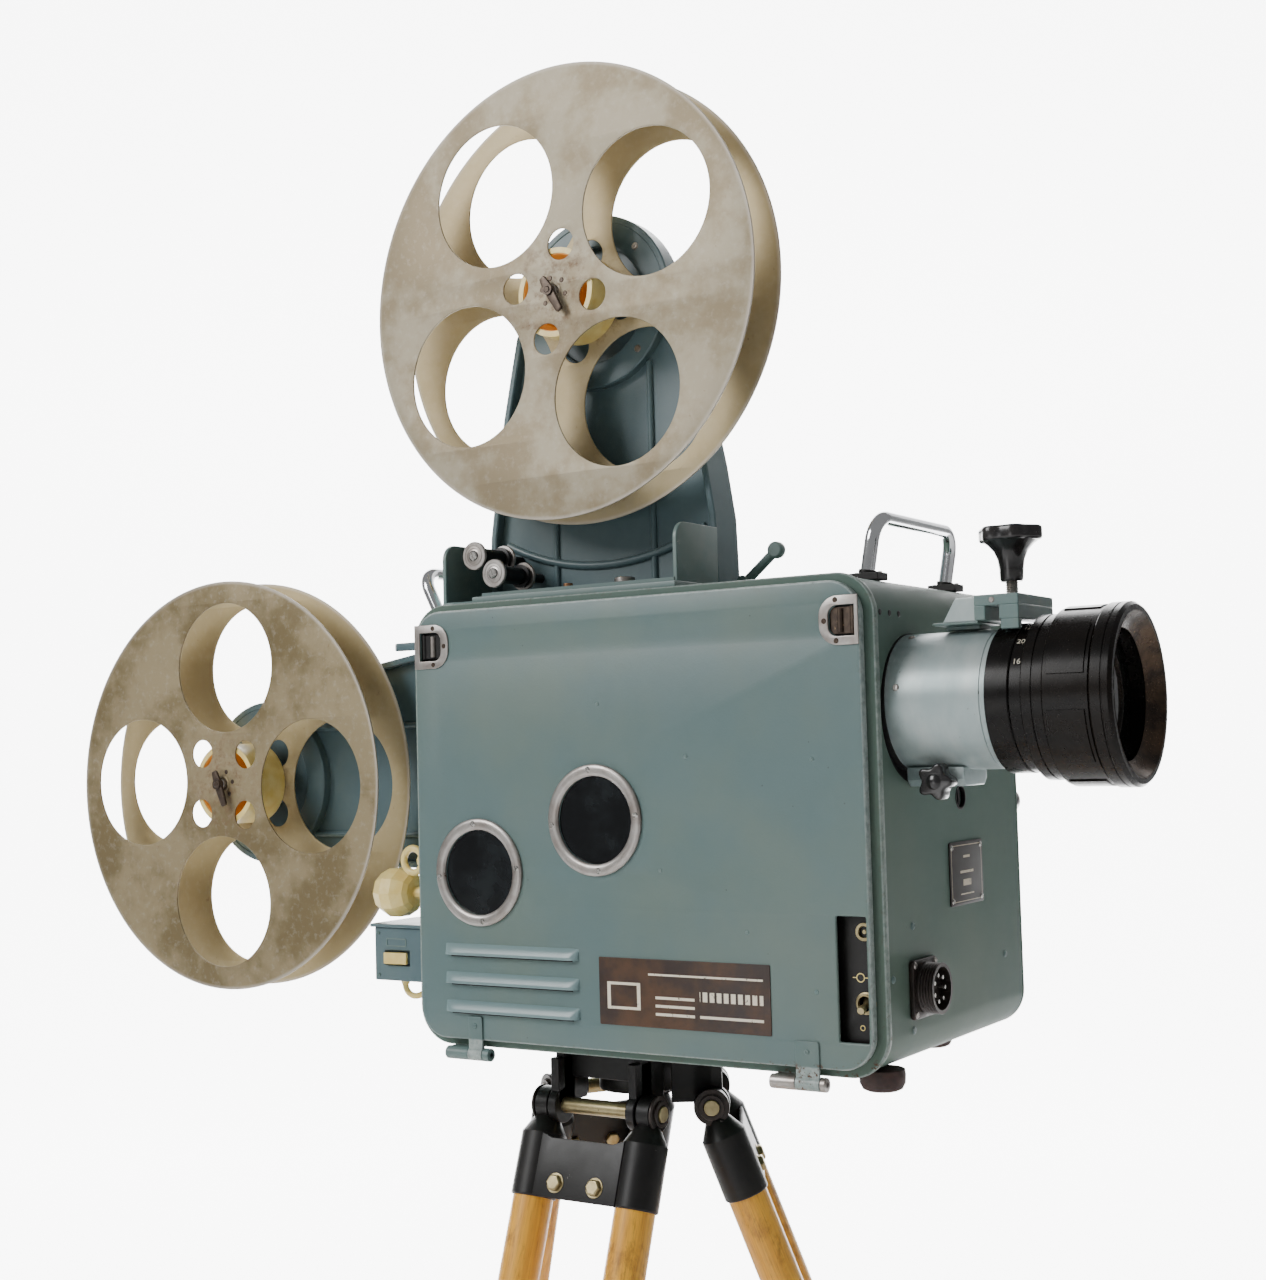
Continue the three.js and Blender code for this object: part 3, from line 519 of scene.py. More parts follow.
BEZEL_BRASS = Finish(
    "worn_brass", "anodised_alloy", tone(78, 62, 48), tone(34, 28, 24), 22, 0.9, (0.2, 0.36), 0.7,
    grain=0.8, depth=0.02, chip=(tone(150, 120, 84), 6, 0.66),
)
STEEL = Finish(
    "worn_steel", "steel", tone(176, 172, 168), tone(140, 130, 122), 18, 0.7, (0.26, 0.46), 0.85,
    grain=0.8, depth=0.02, chip=(tone(96, 74, 58), 8, 0.68),
)
BRIGHT_STEEL = Finish(
    "bright_steel", "steel", tone(206, 204, 200), tone(176, 170, 162), 14, 0.6, (0.16, 0.32), 0.95,
    grain=0.6, depth=0.01, chip=(tone(110, 92, 72), 7, 0.72),
)
BRONZE = Finish(
    "aged_bronze", "steel", tone(84, 72, 62), tone(54, 46, 42), 8, 0.7, (0.3, 0.5), 0.7,
    grain=0.6, depth=0.03, chip=(tone(150, 128, 100), 5, 0.66),
)
COPPER = Finish(
    "copper_pin", "steel", tone(178, 132, 96), tone(128, 96, 74), 12, 0.7, (0.25, 0.42), 0.8,
    grain=0.7, depth=0.02, chip=(tone(80, 60, 48), 6, 0.68),
)
CHROME = Finish(
    "bright_chrome", "chrome", tone(224, 226, 228), tone(200, 202, 206), 30, 0.5, (0.05, 0.14), 1.0,
    grain=1.0, depth=0.004, chip=(tone(150, 146, 140), 7, 0.76),
)
IVORY = Finish(
    "ivory_plastic", "ivory_plastic", tone(240, 218, 142), tone(226, 194, 106), 16, 0.7, (0.3, 0.45), 0.0,
    grain=1.2, depth=0.015, chip=(tone(176, 150, 100), 9, 0.73), coat=0.2,
)
BAKELITE = Finish(
    "black_bakelite", "black_plastic", tone(24, 23, 24), tone(44, 40, 38), 14, 0.6, (0.16, 0.32), 0.0,
    grain=1.5, depth=0.01, chip=(tone(90, 84, 78), 7, 0.74), coat=0.3,
)
RUBBER = Finish(
    "brown_rubber", "rubber", tone(70, 50, 46), tone(48, 38, 36), 12, 0.7, (0.6, 0.8), 0.0,
    grain=0.9, depth=0.06, chip=(tone(110, 88, 76), 5, 0.68),
)
# Amber lining that glows faintly: painted light, as though the hub core were lit from within.
SELF_LIT_AMBER = Finish(
    "amber_core_glow", "ivory_plastic", tone(214, 140, 56), tone(190, 112, 40), 18, 0.7, (0.35, 0.5), 0.0,
    grain=1.2, depth=0.02, chip=(tone(236, 190, 110), 8, 0.7), glow=0.45,
)
PORT_GLASS = Glass("port_glass", "tinted_glass", tone(14, 16, 18), tone(30, 34, 36), specular=0.3, coat=0.12)
LENS_GLASS = Glass("lens_glass", "tinted_glass", tone(6, 8, 8), tone(12, 18, 16), specular=0.3, coat=0.1)
BRASS = Finish(
    "dull_brass", "steel", tone(178, 164, 124), tone(140, 126, 92), 10, 0.7, (0.28, 0.44), 0.8,
    grain=0.7, depth=0.02, chip=(tone(90, 76, 56), 6, 0.68),
)
SOCKET_METAL = Finish(
    "socket_metal", "black_enamel", tone(58, 50, 46), tone(38, 34, 33), 12, 0.7, (0.3, 0.46), 0.4,
    grain=0.8, depth=0.03, chip=(tone(120, 104, 88), 6, 0.68),
)
# Black used for painted shade in the gap round the lens tube.
GAP_SHADE_BLACK = Finish(
    "gap_shade_black", "rubber", tone(12, 12, 13), tone(18, 18, 19), 20, 0.5, (0.7, 0.85), 0.0,
    grain=1.0, depth=0.03, chip=(tone(30, 30, 30), 5, 0.7),
)


# ---------- shapes
def circle(radius: float, steps: int = 64, centre: Flat = (0.0, 0.0)) -> list[Flat]:
    """Points of a circle."""
    spots = []
    for i in range(steps):
        angle = TURN * i / steps
        spots.append((centre[0] + radius * math.cos(angle), centre[1] + radius * math.sin(angle)))
    return spots


def arc(centre: Flat, radius: float, start: float, end: float, steps: int = 12) -> list[Flat]:
    """Points of an arc between two angles in degrees, both ends included."""
    turns = [math.radians(start + (end - start) * k / steps) for k in range(steps + 1)]
    return [(centre[0] + radius * math.cos(a), centre[1] + radius * math.sin(a)) for a in turns]


def rounded_box(x0: float, x1: float, z0: float, z1: float, corner: float, steps: int = 12) -> list[Flat]:
    """Points of a rectangle with round corners."""
    low, high, left, right = z0 + corner, z1 - corner, x0 + corner, x1 - corner
    middles = ((right, low), (right, high), (left, high), (left, low))
    return [spot for k, at in enumerate(middles) for spot in arc(at, corner, 90 * k - 90, 90 * k, steps)]


def lobed(outer: float, inner: float, lobes: int, steps: int = 12) -> list[Flat]:
    """Points of a star-shaped hand grip."""
    spots = []
    for i in range(lobes * steps):
        angle = TURN * i / (lobes * steps)
        r = (outer + inner) / 2 + (outer - inner) / 2 * math.cos(lobes * angle)
        spots.append((r * math.cos(angle), r * math.sin(angle)))
    return spots


def linked(name: str, data: Optional[bpy.types.ID]) -> Object:
    """A new object in the scene that holds the data."""
    made = bpy.data.objects.new(name, data)
    bpy.context.scene.collection.objects.link(made)
    return made


def posed(spot: Point, degrees: float, axis: str) -> Matrix:
    """Turns a shape about the X, Y or Z axis and then moves it to a spot."""
    return Matrix.Translation(spot) @ Matrix.Rotation(math.radians(degrees), 4, axis)


def evaluated(obj: Object) -> Mesh:
    """A plain mesh of an object as its curve settings or modifiers leave it."""
    return bpy.data.meshes.new_from_object(obj.evaluated_get(bpy.context.evaluated_depsgraph_get()))


class Form:
    """Closed shapes gathered in one mesh, in the drawing's millimetres."""

    def __init__(self) -> None:
        """Starts empty."""
        self.bm = bmesh.new()

    def _grid(self, rings: Sequence[Sequence[Vector]], loop: bool) -> "Form":
        """Joins rings of points with faces.

        Args:
            rings: rings of equal length; a ring of one point closes to a pole.
            loop: whether the last ring joins the first.

        Returns:
            The form itself.
        """
        verts = [[self.bm.verts.new(p) for p in ring] for ring in rings]
        pairs = list(zip(verts, verts[1:]))
        if loop:
            pairs.append((verts[-1], verts[0]))
        for first, second in pairs:
            count = max(len(first), len(second))
            for i in range(count):
                j = (i + 1) % count
                corners = []
                for ring, order in ((first, (i, j)), (second, (j, i))):
                    for k in order:
                        vert = ring[k % len(ring)]
                        if vert not in corners:
                            corners.append(vert)
                self.bm.faces.new(corners)
        if not loop:
            for ring in (verts[0], verts[-1]):
                if len(ring) > 2:
                    self.bm.faces.new(ring)
        return self

    def lathe(
            self, profile: Sequence[Flat], axis: Axis, centre: Point = (0, 0, 0), steps: int = 64) -> "Form":
        """Adds a turned shape.

        Args:
            profile: (radius, distance along the axis) pairs; a closed one ends where it starts.
            axis: the axis that it is turned round.
            centre: a point on that axis.
            steps: faces round the axis.

        Returns:
            The form itself.
        """
        loop = tuple(profile[0]) == tuple(profile[-1])
        used = list(profile[:-1]) if loop else list(profile)
        turn = Matrix.Translation(centre) @ axis.matrix()
        rings = []
        for radius, distance in used:
            if radius < 1e-6:
                rings.append([turn @ Vector((0, 0, distance))])
                continue
            rings.append([turn @ Vector((*spot, distance)) for spot in circle(radius, steps)])
        return self._grid(rings, loop)

    def rod(
            self, radius: float, axis: Axis, low: float, high: float, centre: Point,
            steps: int = 32) -> "Form":
        """Adds a plain round rod between two places along an axis."""
        return self.lathe([(0, low), (radius, low), (radius, high), (0, high)], axis, centre, steps)

    def pipe(
            self, outer: float, inner: float, axis: Axis, low: float, high: float, centre: Point,
            steps: int = 64) -> "Form":
        """Adds a plain pipe between two places along an axis."""
        wall = [(inner, low), (outer, low), (outer, high), (inner, high), (inner, low)]
        return self.lathe(wall, axis, centre, steps)

    def skin(self, outline: Callable[[float], list[Flat]], stations: Sequence[Flat]) -> "Form":
        """Adds a wall that runs round an outline.

        Args:
            outline: gives the outline in XZ, grown by a distance.
            stations: the wall's closed section as (growth, y) pairs.

        Returns:
            The form itself.
        """
        rings = [[Vector((x, y, z)) for x, z in outline(grow)] for grow, y in stations]
        return self._grid(rings, True)

    def plate(
            self, outer: Sequence[Flat], holes: Iterable[Sequence[Flat]], low: float, high: float, axis: Axis,
            edge: float = 0.4) -> "Form":
        """Adds a flat plate with holes and softened edges.

        Args:
            outer: its outline across the axis.
            holes: outlines of the holes.
            low: where it starts along the axis.
            high: where it ends.
            axis: the direction of its thickness.
            edge: width of the softened edges.

        Returns:
            The form itself.
        """
        curve = bpy.data.curves.new("outline", "CURVE")
        curve.dimensions = "2D"
        curve.fill_mode = "BOTH"
        edge = min(edge, (high - low) * 0.45)
        curve.extrude = (high - low) / 2 - edge
        curve.bevel_depth = edge
        curve.bevel_resolution = 2
        curve.offset = -edge
        for points in [outer, *holes]:
            spline = curve.splines.new("POLY")
            spline.points.add(len(points) - 1)
            for point, (u, v) in zip(spline.points, points):
                point.co = (u, v, 0, 1)
            spline.use_cyclic_u = True
        holder = linked("outline", curve)
        flat = evaluated(holder)
        bpy.data.objects.remove(holder)
        bpy.data.curves.remove(curve)
        own = bmesh.new()
        own.from_mesh(flat)
        bmesh.ops.remove_doubles(own, verts=own.verts, dist=1e-3)
        turn = axis.matrix() @ Matrix.Translation((0, 0, (low + high) / 2))
        return self._take(own, flat, turn)

    def prism(self, outline: Sequence[Flat], low: float, high: float, axis: Axis) -> "Form":
        """Adds a solid with one outline all along an axis."""
        turn = axis.matrix()
        rings = [[turn @ Vector((u, v, w)) for u, v in outline] for w in (low, high)]
        return self._grid(rings, False)

    def block(self, x0: float, x1: float, y0: float, y1: float, z0: float, z1: float) -> "Form":
        """Adds a box between two corners."""
        return self.prism([(x0, y0), (x1, y0), (x1, y1), (x0, y1)], z0, z1, Axis.Z)

    def tube(self, points: Sequence[Point], radius: float, sides: int = 20, loop: bool = False) -> "Form":
        """Adds a round rod that follows points."""
        path = [Vector(p) for p in points]
        rings = []
        normal = Vector((0.31, 0.77, 0.56))
        count = len(path)
        for i, spot in enumerate(path):
            before = path[(i - 1) % count] if loop else path[max(i - 1, 0)]
            after = path[(i + 1) % count] if loop else path[min(i + 1, count - 1)]
            tangent = (after - before).normalized()
            normal = (normal - tangent * normal.dot(tangent)).normalized()
            side = tangent.cross(normal)
            rings.append([spot + normal * u + side * v for u, v in circle(radius, sides)])
        return self._grid(rings, loop)

    def add(self, other: "Form", matrix: Matrix = Matrix.Identity(4)) -> "Form":
        """Adds a moved copy of another form."""
        return self._take(other.bm.copy(), bpy.data.meshes.new("copy"), matrix)

    def _take(self, own: bmesh.types.BMesh, mesh: Mesh, matrix: Matrix) -> "Form":
        """Moves a bmesh into this form through a mesh, and clears both."""
        bmesh.ops.transform(own, matrix=matrix, verts=own.verts)
        own.to_mesh(mesh)
        own.free()
        self.bm.from_mesh(mesh)
        bpy.data.meshes.remove(mesh)
        return self

    def bend(self, rule: Callable[[Vector], Vector]) -> "Form":
        """Moves every point by a rule."""
        for vert in self.bm.verts:
            vert.co = rule(vert.co)
        return self

    def mesh(self, name: str) -> Mesh:
        """The finished mesh, with its faces turned outwards."""
        bmesh.ops.recalc_face_normals(self.bm, faces=self.bm.faces)
        made = bpy.data.meshes.new(name)
        self.bm.to_mesh(made)
        self.bm.free()
        return made


# ---------- repeated parts by geometry nodes
class Repeater:
    """A geometry node tree that repeats a shape, with named inputs for its sizes."""

    def __init__(self, name: str, **inputs: str) -> None:
        """Starts a tree; each keyword is an input and the kind of its socket."""
        self.tree = bpy.data.node_groups.new(name, "GeometryNodeTree")
        for label, kind in {"Geometry": "Geometry", **inputs, "Material": "Material"}.items():
            self.tree.interface.new_socket(label, in_out="INPUT", socket_type=f"NodeSocket{kind}")
        self.tree.interface.new_socket("Geometry", in_out="OUTPUT", socket_type="NodeSocketGeometry")
        self.given = self.tree.nodes.new("NodeGroupInput").outputs

    def node(
            self, kind: str, inputs: dict, output: int = 0,
            **settings: str) -> Optional[Socket]:
        """Adds a node, sets it and links it.

        Args:
            kind: the node's type.
            inputs: values or output sockets, by name or number.
            output: the number of the output that is wanted.
            settings: its own settings.

        Returns:
            The chosen output.
        """
        made = self.tree.nodes.new(kind)
        for key, value in settings.items():
            setattr(made, key, value)
        for key, value in inputs.items():
            if isinstance(value, Socket):
                self.tree.links.new(value, made.inputs[key])
            else:
                made.inputs[key].default_value = value
        return made.outputs[output] if made.outputs else None

    def math(self, operation: str, *terms: Union[float, Socket]) -> Socket:
        """Adds a Math node on the given terms."""
        return self.node("ShaderNodeMath", dict(enumerate(terms)), operation=operation)

    def end(self, points: Socket, shape: Socket, **turn: Socket
            ) -> NodeTree:
        """Sets the shape on every point, makes it real, gives it the material and ends the tree."""
        copies = self.node("GeometryNodeInstanceOnPoints", {"Points": points, "Instance": shape, **turn})
        real = self.node("GeometryNodeRealizeInstances", {0: copies})
        dressed = self.node("GeometryNodeSetMaterial", {"Geometry": real, "Material": self.given["Material"]})
        self.node("NodeGroupOutput", {0: dressed})
        return self.tree


@cache
def in_line() -> NodeTree:
    """A tree that repeats the shape along a line: Count, Offset, Material."""
    made = Repeater("repeat_line", Count="Int", Offset="Vector")
    sizes = {"Count": made.given["Count"], "Offset": made.given["Offset"]}
    return made.end(made.node("GeometryNodeMeshLine", sizes, mode="OFFSET"), made.given["Geometry"])


@cache
def in_circle() -> NodeTree:
    """A tree that repeats the shape round an axis: Count, Centre, Axis, Start, Material."""
    made = Repeater("repeat_round", Count="Int", Centre="Vector", Axis="Vector", Start="Float")
    count = made.given["Count"]
    spots = made.node("GeometryNodePoints", {"Count": count, "Position": made.given["Centre"]})
    share = made.math("DIVIDE", made.node("GeometryNodeInputIndex", {}), count)
    angle = made.math("MULTIPLY_ADD", share, TURN, made.given["Start"])
    turned = made.node("FunctionNodeAxisAngleToRotation", {0: made.given["Axis"], 1: angle})
    return made.end(spots, made.given["Geometry"], Rotation=turned)


@cache
def screw_heads() -> NodeTree:
    """A tree that sets slotted screw heads on points: Radius, Height, Slot, Facing, Seed, Material."""
    made = Repeater("screw_heads", Radius="Float", Height="Float", Slot="Float", Facing="Vector", Seed="Int")
    radius, height = made.given["Radius"], made.given["Height"]
    head = made.node(
        "GeometryNodeMeshCone", {"Vertices": 20, "Radius Top": made.math("MULTIPLY", radius, 0.72),
            "Radius Bottom": radius, "Depth": height})
    across = made.math("MULTIPLY", radius, 2.4)
    size = made.node("ShaderNodeCombineXYZ", {0: across, 1: made.given["Slot"], 2: height})
    groove = made.node("GeometryNodeMeshCube", {"Size": size})
    lift = made.node("ShaderNodeCombineXYZ", {2: height})
    raised = made.node("GeometryNodeTransform", {"Geometry": groove, "Translation": lift})
    slotted = made.node("GeometryNodeMeshBoolean", {0: head, 1: raised}, operation="DIFFERENCE")
    facing = made.node("FunctionNodeAlignRotationToVector", {"Vector": made.given["Facing"]}, axis="Z")
    random = {2: 0.0, 3: TURN, 8: made.given["Seed"]}
    spin = made.node("FunctionNodeRandomValue", random, 1, data_type="FLOAT")
    about = made.node("FunctionNodeAxisAngleToRotation", {0: (0, 0, 1), 1: spin})
    turned = made.node("FunctionNodeRotateRotation", {0: facing, 1: about}, rotation_space="LOCAL")
    return made.end(made.given["Geometry"], slotted, Rotation=turned)


def bake(mesh: Mesh, tree: NodeTree, sizes: dict) -> Mesh:
    """Runs a tree on a mesh.

    Args:
        mesh: what the tree starts from.
        tree: the tree.
        sizes: its inputs by their names.

    Returns:
        The plain mesh that comes out.
    """
    holder = linked("repeat", mesh)
    modifier = holder.modifiers.new("repeat", "NODES")
    modifier.node_group = tree
    for item in tree.interface.items_tree:
        if item.item_type == "SOCKET" and item.in_out == "INPUT" and item.name in sizes:
            modifier[item.identifier] = sizes[item.name]
    holder.update_tag()
    made = evaluated(holder)
    holder.modifiers.remove(modifier)
    bpy.data.objects.remove(holder)
    bpy.data.meshes.remove(mesh)
    return made


# ---------- pieces
def finish_piece(
        name: str, mesh: Mesh, body: str, finish: Finish, replaces: Sequence[str] = (),
        soften: float = 0.0, crease: float = 32.0) -> Object:
    """Args:
        name: the piece's name.
        mesh: its mesh, in the drawing's millimetres.
        body: the body that it rides on.
        finish: its finish.
        replaces: CAD nodes that it stands for.
        soften: width of a live bevel on its sharp edges, in millimetres.
        crease: angle in degrees above which an edge stays sharp.

    Returns:
        The object.
    """
    mesh.transform(TO_MODEL)
    if not mesh.materials:
        mesh.materials.append(finish.material())
    mesh.shade_smooth()
    mesh.set_sharp_from_angle(angle=math.radians(crease))
    made = linked(name, mesh)
    if soften:
        bevel = made.modifiers.new("soft_edges", "BEVEL")
        bevel.width = soften * MM
        bevel.segments = 2
        bevel.limit_method = "ANGLE"
        bevel.angle_limit = math.radians(38)
        bevel.harden_normals = True
    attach(made, body)
    if replaces:
        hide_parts(*replaces)
    log.info("made %s on %s", name, body)
    return made


def piece(
        name: str, form: Form, body: str, finish: Finish, replaces: Sequence[str] = (), soften: float = 0.0,
        crease: float = 32.0) -> Object:
    """Finishes a form as a piece; the arguments are those of finish_piece."""
    return finish_piece(name, form.mesh(name), body, finish, replaces, soften, crease)


def repeated(
        name: str, form: Form, tree: NodeTree, sizes: dict, body: str, finish: Finish,
        replaces: Sequence[str] = (), crease: float = 32.0) -> Object:
    """Repeats a form with a node tree and finishes the result as a piece."""
    sizes = {**sizes, "Material": finish.material()}
    made = bake(form.mesh(name), tree, sizes)
    return finish_piece(name, made, body, finish, replaces, 0.0, crease)


def screws(
        name: str, spots: Sequence[Point], facing: Point, radius: float, body: str, finish: Finish = STEEL,
        height: float = 1.0, slot: float = 0.7) -> Object:
    """Sets slotted screw heads on points.

    Args:
        name: the piece's name.
        spots: where the heads sit.
        facing: the direction that they face.
        radius: their radius in millimetres.
        body: the body that they ride on.
        finish: their finish.
        height: how far they stand out.
        slot: width of the driver slot.

    Returns:
        The object.
    """
    mesh = bpy.data.meshes.new(name)
    mesh.from_pydata([Vector(spot) for spot in spots], [], [])
    sizes = {
        "Radius": radius, "Height": height, "Slot": slot, "Facing": Vector(facing), "Seed": len(name),
        "Material": finish.material()}
    return finish_piece(name, bake(mesh, screw_heads(), sizes), body, finish)


def carved(form: Form, cutter: Form, name: str) -> Mesh:
    """A form with another one cut out of it."""
    whole = linked("whole", form.mesh(name))
    tool = linked("tool", cutter.mesh("tool"))
    modifier = whole.modifiers.new("cut", "BOOLEAN")
    modifier.operation = "DIFFERENCE"
    modifier.solver = "EXACT"
    modifier.object = tool
    made = evaluated(whole)
    for obj in (whole, tool):
        old = obj.data
        bpy.data.objects.remove(obj)
        bpy.data.meshes.remove(old)
    return made


def dress(node: str, finish: Finish) -> None:
    """Gives a CAD node that stays as it is a full finish."""
    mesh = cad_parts[node].data
    mesh.materials.clear()
    mesh.materials.append(finish.material())


def facing_rows(pairs: Iterable[Flat], y: float) -> list[Point]:
    """Points on a plane in front of the case from their (x, z) pairs."""
    return [(x, y, z) for x, z in pairs]


# ---------- the case
@dataclass
class Case:
    """The enamelled case: shell, drive side cover, feet, hinges and what is screwed to its front."""

    x0: float = -212.8
    x1: float = 204.8
    z0: float = -1.6
    z1: float = 353.6
    corner: float = 29.0
    front: float = -130.0
    back: float = 134.0
    wall: float = 4.0
    lens_middle: Flat = (-65.5, 257.2)
    lens_hole: float = 55.0
    key_hole: Flat = (18.0, 189.0)
    body: str = Body.CASE.value

    def outline(self, grow: float) -> list[Flat]:
        """The case's outline in XZ, grown by a distance."""
        return rounded_box(
            self.x0 - grow, self.x1 + grow, self.z0 - grow, self.z1 + grow, self.corner + grow, 14)

    def shell(self) -> None:
        """The four walls with the beaded lip round the door, and the openings in them."""
        stations = [
            (-8, -129), (-8, -129.8), (-7.8, -130), (0.6, -130), (1.6, -129.5), (2.1, -127.6), (1.6, -123.4),
            (0.7, -121.4), (0, -120.8), (0, 133.6), (-0.4, self.back), (-4, self.back), (-4, -129)]
        form = Form().skin(self.outline, stations)
        y, z = self.lens_middle
        cutter = Form().rod(self.lens_hole, Axis.X, 190, 220, (0, y, z), 96)
        cutter.rod(9, Axis.X, 190, 220, (0, *self.key_hole), 32)
        cutter.block(-199, -175, -88, -40, 320, 360)
        cutter.block(-220, -205, -88, -40, 222, 240)
        mesh = carved(form, cutter, "case_walls")
        finish_piece("case_walls", mesh, self.body, SHADED_SHELL_ENAMEL, ["case_shell"])

    def cover(self) -> None:
        """The plate on the drive side, its louvres, its screws and the shaft knob."""
        form = Form().plate(self.outline(0), [], self.back + 0.3, 139, Axis.Y, 1.6)
        form.plate(self.outline(-16), [self.outline(-19)], 138.6, 140.2, Axis.Y, 0.7)
        piece("drive_cover", form, self.body, SHADED_SHELL_ENAMEL, ["drive_side_cover"])
        rim = self.outline(-9)
        screws("cover_screws", [(x, 139.0, z) for x, z in rim[7::15]], (0, 1, 0), 3.4, self.body)
        louvre = louvre_hood(-150, -20, 60, 138.9, 5)
        repeated(
            "cover_louvres", louvre, in_line(), {"Count": 6, "Offset": Vector((0, 0, 18))}, self.body,
            TRIM_ENAMEL)
        knob = Form().lathe(
            [(0, 139.2), (4, 139.2), (4, 145), (9, 146), (11, 149), (11, 155), (9.5, 158), (0, 158.4)],
            Axis.Y, (190, 0, 181), 48)
        piece("shaft_knob", knob, self.body, BAKELITE, soften=0.5)

    def feet(self) -> None:
        """Rubber feet."""
        profile = [(0, -17.4), (11.5, -17.4), (14.5, -16), (16.6, -12), (17, -6), (16.4, -2), (0, -2)]
        for name, x, y in (("near", 183, -92), ("far", 140, 95)):
            foot = Form().lathe(profile, Axis.Z, (x, y, 0), 48)
            piece(f"rubber_foot_{name}", foot, self.body, RUBBER, [f"foot_{name}"], 0.4)

    def hinges(self) -> None:
        """The halves of the door's two hinges that stay on the case."""
        y, z = HINGE_PIN
        for name, finish, x0, leaf0, leaf1, x1 in (
                ("rear", TRIM_ENAMEL, -180.4, -157.6, -143.9, -137), ("front", STEEL, 117, 138, 157, 161.6)):
            form = Form().rod(2.6, Axis.X, x0, x1, (0, y, z), 24)
            form.rod(5.2, Axis.X, x0, leaf0 - 0.4, (0, y, z), 32)
            form.rod(5.2, Axis.X, leaf1 + 0.4, x1, (0, y, z), 32)
            form.block(x0 + 0.4, leaf0 - 0.6, y, -118, -7.2, -3.3)
            piece(f"hinge_half_{name}", form, self.body, finish, [f"{name}_hinge"], 0.6)

    def front_fittings(self) -> None:
        """Rating plate, key bush, vent holes and screws on the front wall."""
        x = self.x1
        corners = rounded_box(-9.5, 55, 106.5, 155, 2, 4)
        piece(
            "rating_plate", Form().plate(corners, [], x + 0.1, x + 1.3, Axis.X, 0.3), self.body, RATING_PRINT)
        spots = [(x + 1.2, y, z) for y in (-5.5, 51) for z in (110.5, 151)]
        screws("rating_plate_screws", spots, (1, 0, 0), 2.2, self.body, BRIGHT_STEEL)
        loose = [(x, -79, 99.3), (x, -115, 65.2), (x, -82.5, 25.1), (x, 98, 60), (x, 104, 300), (x, 20, 330)]
        screws("front_wall_screws", loose, (1, 0, 0), 3.0, self.body, TRIM_ENAMEL)
        # Flat black discs where the vent holes are: painted shade for their dark insides.
        holes = [(x, y, 326) for y in (-84, -100, -116)]
        screws("vent_rivets", holes, (1, 0, 0), 2.4, self.body, BLACK_PAINT, 0.5, 0.05)
        y, z = self.key_hole
        bush = Form().pipe(9.6, 8.2, Axis.X, x - 3, x + 0.6, (0, y, z), 48)
        bush.rod(3, Axis.X, x - 20, x - 2, (0, y, z), 24)
        bush.block(x - 4, x - 1, y - 1.6, y + 1.6, z - 6, z + 6)
        piece("key_bush", bush, self.body, BLACK_PAINT, soften=0.5)
        # A black ring in the lens hole round the tube: painted shade for the deep gap between tube and wall.
        shade_ring = Form().pipe(62, 50.3, Axis.X, x - 16, x - 4.4, (0, *LENS_AXIS), 96)
        shade_ring.pipe(50.7, 50.15, Axis.X, x - 14, x + 0.6, (0, *LENS_AXIS), 96)
        piece("lens_hole_shade_ring", shade_ring, self.body, GAP_SHADE_BLACK)

    def plug_connector(self) -> None:
        """The square flange, the threaded socket, its insulator and its pins."""
        x = self.x1
        y, z = -67.5, 54.0
        flange = Form().plate(rounded_box(-89, -46, 32.8, 75.2, 4, 6), [], x + 0.2, x + 3.8, Axis.X, 0.8)
        profile = [(0, 213), (15.6, 213), (15.6, 221.5), (18.2, 221.5)]
        for k in range(5):
            profile += [(18.5, 221 - 2.2 * k), (17.6, 220 - 2.2 * k), (18.5, 218.9 - 2.2 * k)]
        profile += [(18.5, x + 3.6), (0, x + 3.6)]
        flange.lathe(profile, Axis.X, (0, y, z), 64)
        flange.rod(15.4, Axis.X, 210, 213.5, (0, y, z), 48)
        piece("plug_socket", flange, self.body, SOCKET_METAL, ["connector"])
        spots = [(x + 3.8, y + a, z + b) for a in (-17.5, 17.5) for b in (-17.5, 17.5)]
        screws("socket_screws", spots, (1, 0, 0), 2.6, self.body)
        pin = Form().rod(1.5, Axis.X, 213.2, 219.5, (0, 0, 9.6), 16)
        sizes = {"Count": 7, "Centre": Vector((0, y, z)), "Axis": Vector((1, 0, 0)), "Start": 0.2}
        repeated("socket_pins", pin, in_circle(), sizes, self.body, BRIGHT_STEEL)

    def build(self) -> None:
        """Builds the whole case."""
        self.shell()
        self.cover()
        self.feet()
        self.hinges()
        self.front_fittings()
        self.plug_connector()


def louvre_hood(x0: float, x1: float, z: float, y: float, depth: float, height: float = 9.0) -> Form:
    """One pressed louvre with rounded ends, open downwards.

    Args:
        x0: where it starts.
        x1: where it ends.
        z: height of its lower edge.
        y: the face that it stands out of; depth runs towards -Y when y is below 0.
        depth: how far it stands out.
        height: how tall it is.

    Returns:
        The hood.
    """
    out = -1 if y < 0 else 1
    section = [
        (-0.4, 1.0), (0.25, 0.84), (0.62, 0.55), (0.9, 0.25), (1.0, 0.06), (0.96, -0.04), (0.8, 0.0),
        (-0.4, 0.0)]
    rings = []
    steps = 40
    for i in range(steps + 1):
        t = i / steps
        x = x0 + (x1 - x0) * (0.5 - 0.5 * math.cos(math.pi * t))
        end = min(x - x0, x1 - x) / 10
        rise = math.sqrt(max(0.0, 1 - max(0.0, 1 - end) ** 2)) * 0.97 + 0.03
        ring = [Vector((x, y + out * depth * max(a * rise, -0.1), z + height * b)) for a, b in section]
        rings.append(ring)
    return Form()._grid(rings, False)


